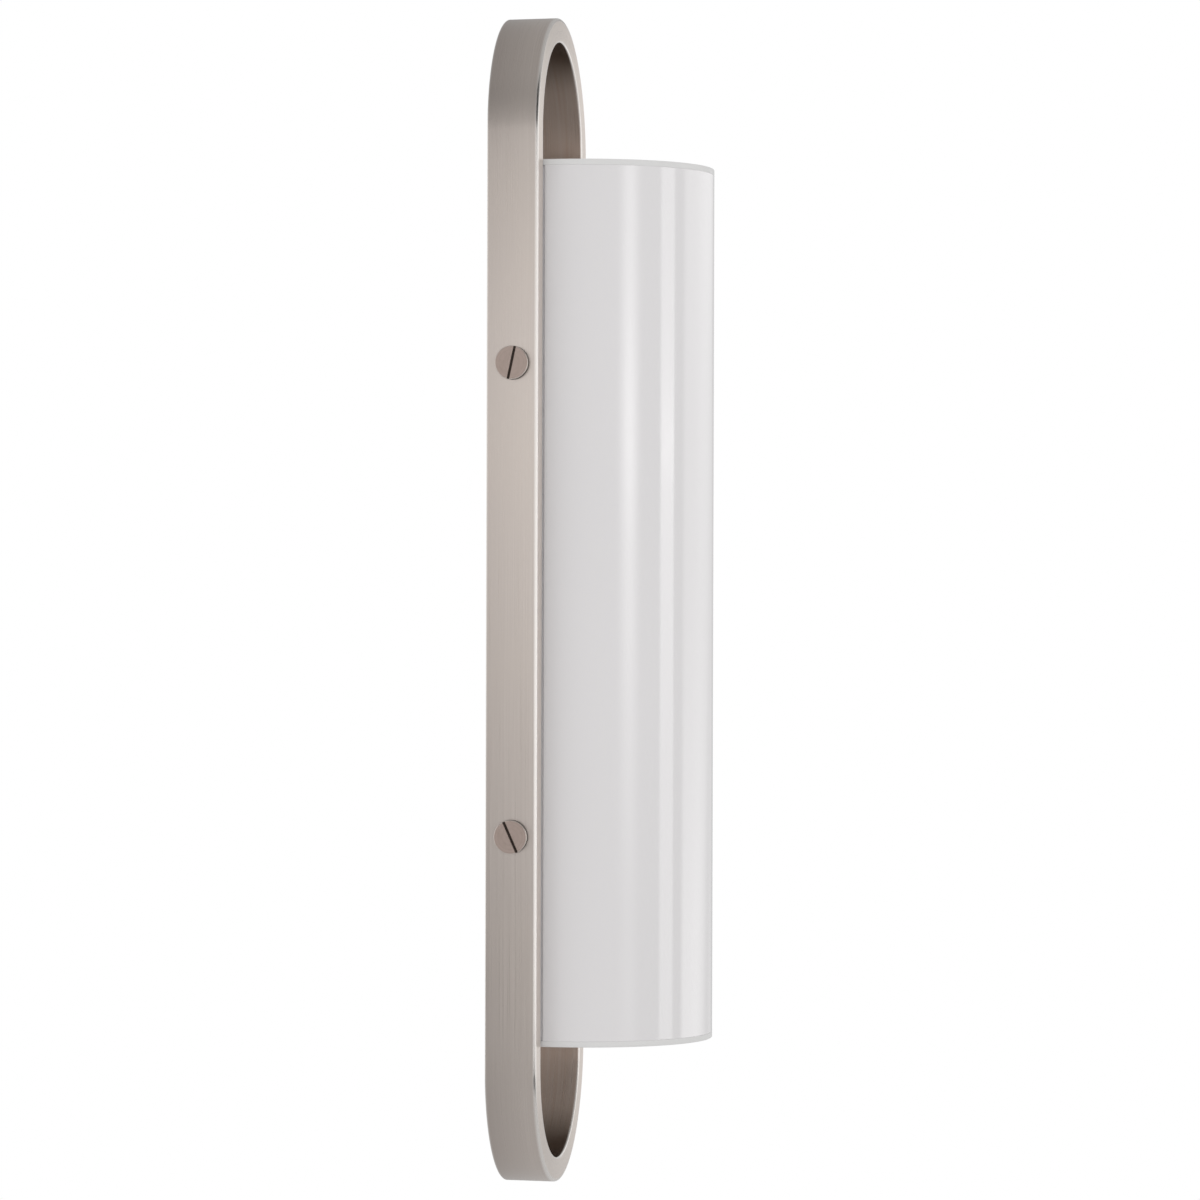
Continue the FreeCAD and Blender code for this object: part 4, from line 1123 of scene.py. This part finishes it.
def card_finish(name, stops, low, high, side_fades, end_fades, adds=False):
    """Glow whose strength runs up the card by stops in metres, and whose edges fade to clear.

    A card either covers what is behind it or, where it adds, lays its glow over it.
    """
    glow = Finish(name)
    spot = glow.split(glow.on_map())
    strongest = max(strength for _, strength in stops)
    ramp = glow.node("ShaderNodeValToRGB", {0: spot[0]})
    while len(ramp.color_ramp.elements) < len(stops):
        ramp.color_ramp.elements.new(0.5)
    for element, (height, strength) in zip(ramp.color_ramp.elements, stops):
        element.position = (height - low) / (high - low)
        share = strength / strongest
        element.color = (share, share, share, 1)
    strength = glow.times(ramp.outputs[0], strongest)
    shown = 1.0
    for value, fades in ((spot[1], side_fades), (spot[0], end_fades)):
        for from_edge, fade in ((value, fades[0]), (glow.math("SUBTRACT", 1.0, value), fades[1])):
            inputs = {"Value": from_edge, "From Min": 0.0, "From Max": max(fade, LEAST_FADE)}
            smooth = glow.node("ShaderNodeMapRange", inputs, interpolation_type="SMOOTHSTEP")
            shown = glow.times(smooth.outputs["Result"], shown)
    clear = glow.node("ShaderNodeBsdfTransparent").outputs[0]
    if adds:
        strength = glow.times(strength, shown)
    shine = glow.node("ShaderNodeEmission", {"Strength": strength}).outputs[0]
    if adds:
        mixed = glow.node("ShaderNodeAddShader", {0: clear, 1: shine})
    else:
        mixed = glow.node("ShaderNodeMixShader", {0: shown, 1: clear, 2: shine})
    return glow.show(mixed.outputs[0])


def only_in_gloss(card):
    """Hides a card from every ray but mirror rays."""
    card.visible_camera = card.visible_diffuse = card.visible_shadow = False
    card.visible_transmission = card.visible_volume_scatter = False


def gloss_card(name, start, width, stops, sides, lean=0.0, widen=0.0, distance=1.6, only=None):
    """Part of a drum, whose angle is the start, plus lean times height, plus a share of the width.

    The width itself grows by widen times the height. Angles are in degrees, the stops give
    height and strength, and sides are the shares of the width over which each edge fades.
    A card that only one piece sees stands for a lamp close to it, and adds its glow.
    """
    low, high = stops[0][0], stops[-1][0]
    height = np.linspace(low, high, CARD_ROWS)[:, None]
    share = np.linspace(0, 1, CARD_COLUMNS)
    angle = np.radians(start + lean * height + (width + widen * height) * share)
    finish = card_finish(name, stops, low, high, sides, CARD_END_FADES, only is not None)
    card = make_stage_card(name, CARD_CENTRE + round_upright(distance, angle, height), finish)
    only_in_gloss(card)
    if only is not None:
        card.light_linking.receiver_collection = only


SEEN_BY_SHADE = bpy.data.collections.new("glows_on_shade")
SEEN_BY_SHADE.objects.link(shade)
print("card helpers are ready")

# %% Cards round the light
STRIP_STOPS = [
    (-0.60, 2.2), (-0.31, 2.4), (-0.155, 2.5), (-0.05, 3.0), (0.05, 3.3), (0.12, 4.0),
    (0.155, 5.3), (0.206, 4.0), (0.258, 3.4), (0.36, 2.8), (0.60, 2.5),
]
LEFT_STOPS = [
    (-0.60, 0.7), (-0.31, 0.8), (-0.206, 1.4), (-0.103, 2.0), (-0.05, 2.7), (0.05, 3.1),
    (0.103, 4.2), (0.155, 5.0), (0.22, 4.6), (0.31, 3.5), (0.412, 3.1), (0.60, 2.9),
]
RIGHT_STOPS = [(-0.60, 2.9), (-0.31, 2.7), (0.0, 1.75), (0.155, 1.75), (0.31, 1.9), (0.60, 2.1)]
SIDE_STOPS = [
    (-2.2, 0.45), (-0.88, 0.42), (-0.60, 0.34), (-0.525, 0.18), (-0.456, 0.36), (-0.342, 0.48),
    (-0.228, 0.55), (-0.114, 0.66), (0.0, 0.78), (0.15, 1.05), (0.342, 1.05),
    (0.44, 1.26), (0.47, 0.85), (0.495, 0.18), (0.545, 0.22), (0.58, 0.48), (0.88, 0.55), (2.2, 0.40),
]
FAR_STOPS = [
    (-0.90, 0.20), (-0.66, 0.28), (-0.61, 0.40), (-0.56, 0.54), (-0.50, 0.58),
    (0.50, 0.62), (0.55, 0.72), (0.59, 0.56), (0.63, 0.38), (0.90, 0.24),
]
DARK = 0.05
gloss_card("sharp_strip", 238.3, 15.0, STRIP_STOPS, (0.12, 0.08), lean=0.5, only=SEEN_BY_SHADE)
gloss_card("soft_left", 206.5, 18.0, LEFT_STOPS, (0.5, 0.5), only=SEEN_BY_SHADE)
gloss_card("soft_right", 261.0, 74.0, RIGHT_STOPS, (0.1, 0.65), widen=36.0, only=SEEN_BY_SHADE)
gloss_card("grey_side", 144.0, 35.0, SIDE_STOPS, (0.15, 0.15), distance=2.0)
gloss_card("dim_far_side", 332.0, 62.0, FAR_STOPS, (0.3, 0.3), distance=1.8)
gloss_card("dark_above", 184.0, 84.0, [(0.385, DARK), (1.55, DARK)], (0.1, 0.2), distance=1.2)
gloss_card("dark_below", 184.0, 84.0, [(-0.615, DARK), (-0.36, DARK)], (0.1, 0.2), distance=0.9)
print("drum cards are in place")

# %% [markdown]
# ## Dim places near the light
#
# Inside the frame the metal mirrors the wall, which lies in the light's own shadow, and
# the deep gap behind the shade. Above and below it mirrors a dim ceiling and a grey part
# of the floor. Each is a flat card for mirror rays alone. The wall's card is darkest at
# the top and foot of the frame, where the bar shuts out the light.

# %% Wall, gap, ceiling and floor cards
WALL_STOPS = [
    (-0.29, 0.0), (-0.275, 0.06), (-0.26, 0.14), (-0.25, 0.24), (-0.24, 0.45), (-0.23, 0.80),
    (0.23, 0.80), (0.24, 0.24), (0.25, 0.12), (0.26, 0.08), (0.275, 0.04), (0.29, 0.0),
]
WALL_ROWS = 59
BEHIND_WALL = 4.0 * MM
GAP_HALF_WIDTH = 53.5 * MM
GAP_FRONT = -19.5 * MM
# Height and strength of the cards that close the gap behind the shade at its two ends
GAPS = {"gap_above": (226.2 * MM, 0.19), "gap_below": (-229.5 * MM, 0.24)}
# Reach, height and strength of the two round cards
ROUND_CARDS = {"grey_ceiling": (5.0, 1.6, 0.45), "grey_floor": (2.0, -0.62, 0.56)}
CARD_CIRCLE_STEPS = 49


def plain_glow(name, points, strength):
    """A card for mirror rays alone that glows evenly."""
    glow = Finish(name)
    shine = glow.node("ShaderNodeEmission", {"Strength": strength}).outputs[0]
    only_in_gloss(make_stage_card(name, points, glow.show(shine)))


foot, top = WALL_STOPS[0][0], WALL_STOPS[-1][0]
rise = np.linspace(foot, top, WALL_ROWS)[:, None]
past_arc_centre = np.clip(np.abs(rise) - arc_centre, 0, None)
half_width = np.sqrt(inner_radius**2 - past_arc_centre**2) * np.array([-1, 0, 1])
wall_patch = points_of(half_width, BEHIND_WALL, rise)
wall_finish = card_finish("shaded_wall", WALL_STOPS, foot, top, (0, 0), (0, 0))
only_in_gloss(make_stage_card("shaded_wall", wall_patch, wall_finish))
gap_sides, gap_ends = np.array([[-GAP_HALF_WIDTH], [GAP_HALF_WIDTH]]), np.array([GAP_FRONT, BEHIND_WALL])
for name, (height, strength) in GAPS.items():
    plain_glow(name, points_of(gap_sides, gap_ends, height), strength)
turn = np.linspace(0, 2 * math.pi, CARD_CIRCLE_STEPS)
for name, (radius, height, strength) in ROUND_CARDS.items():
    reach = np.linspace(0.0, radius, 3)[:, None]
    plain_glow(name, round_upright(reach, turn, height), strength)
print("wall, gap, ceiling and floor cards are in place")

# %% [markdown]
# ## The end
#
# The last cell sets the Standard view transform. The dressed model has to stay inside the
# imported one.

# %% View transform and end
bpy.context.scene.view_settings.view_transform = "Standard"
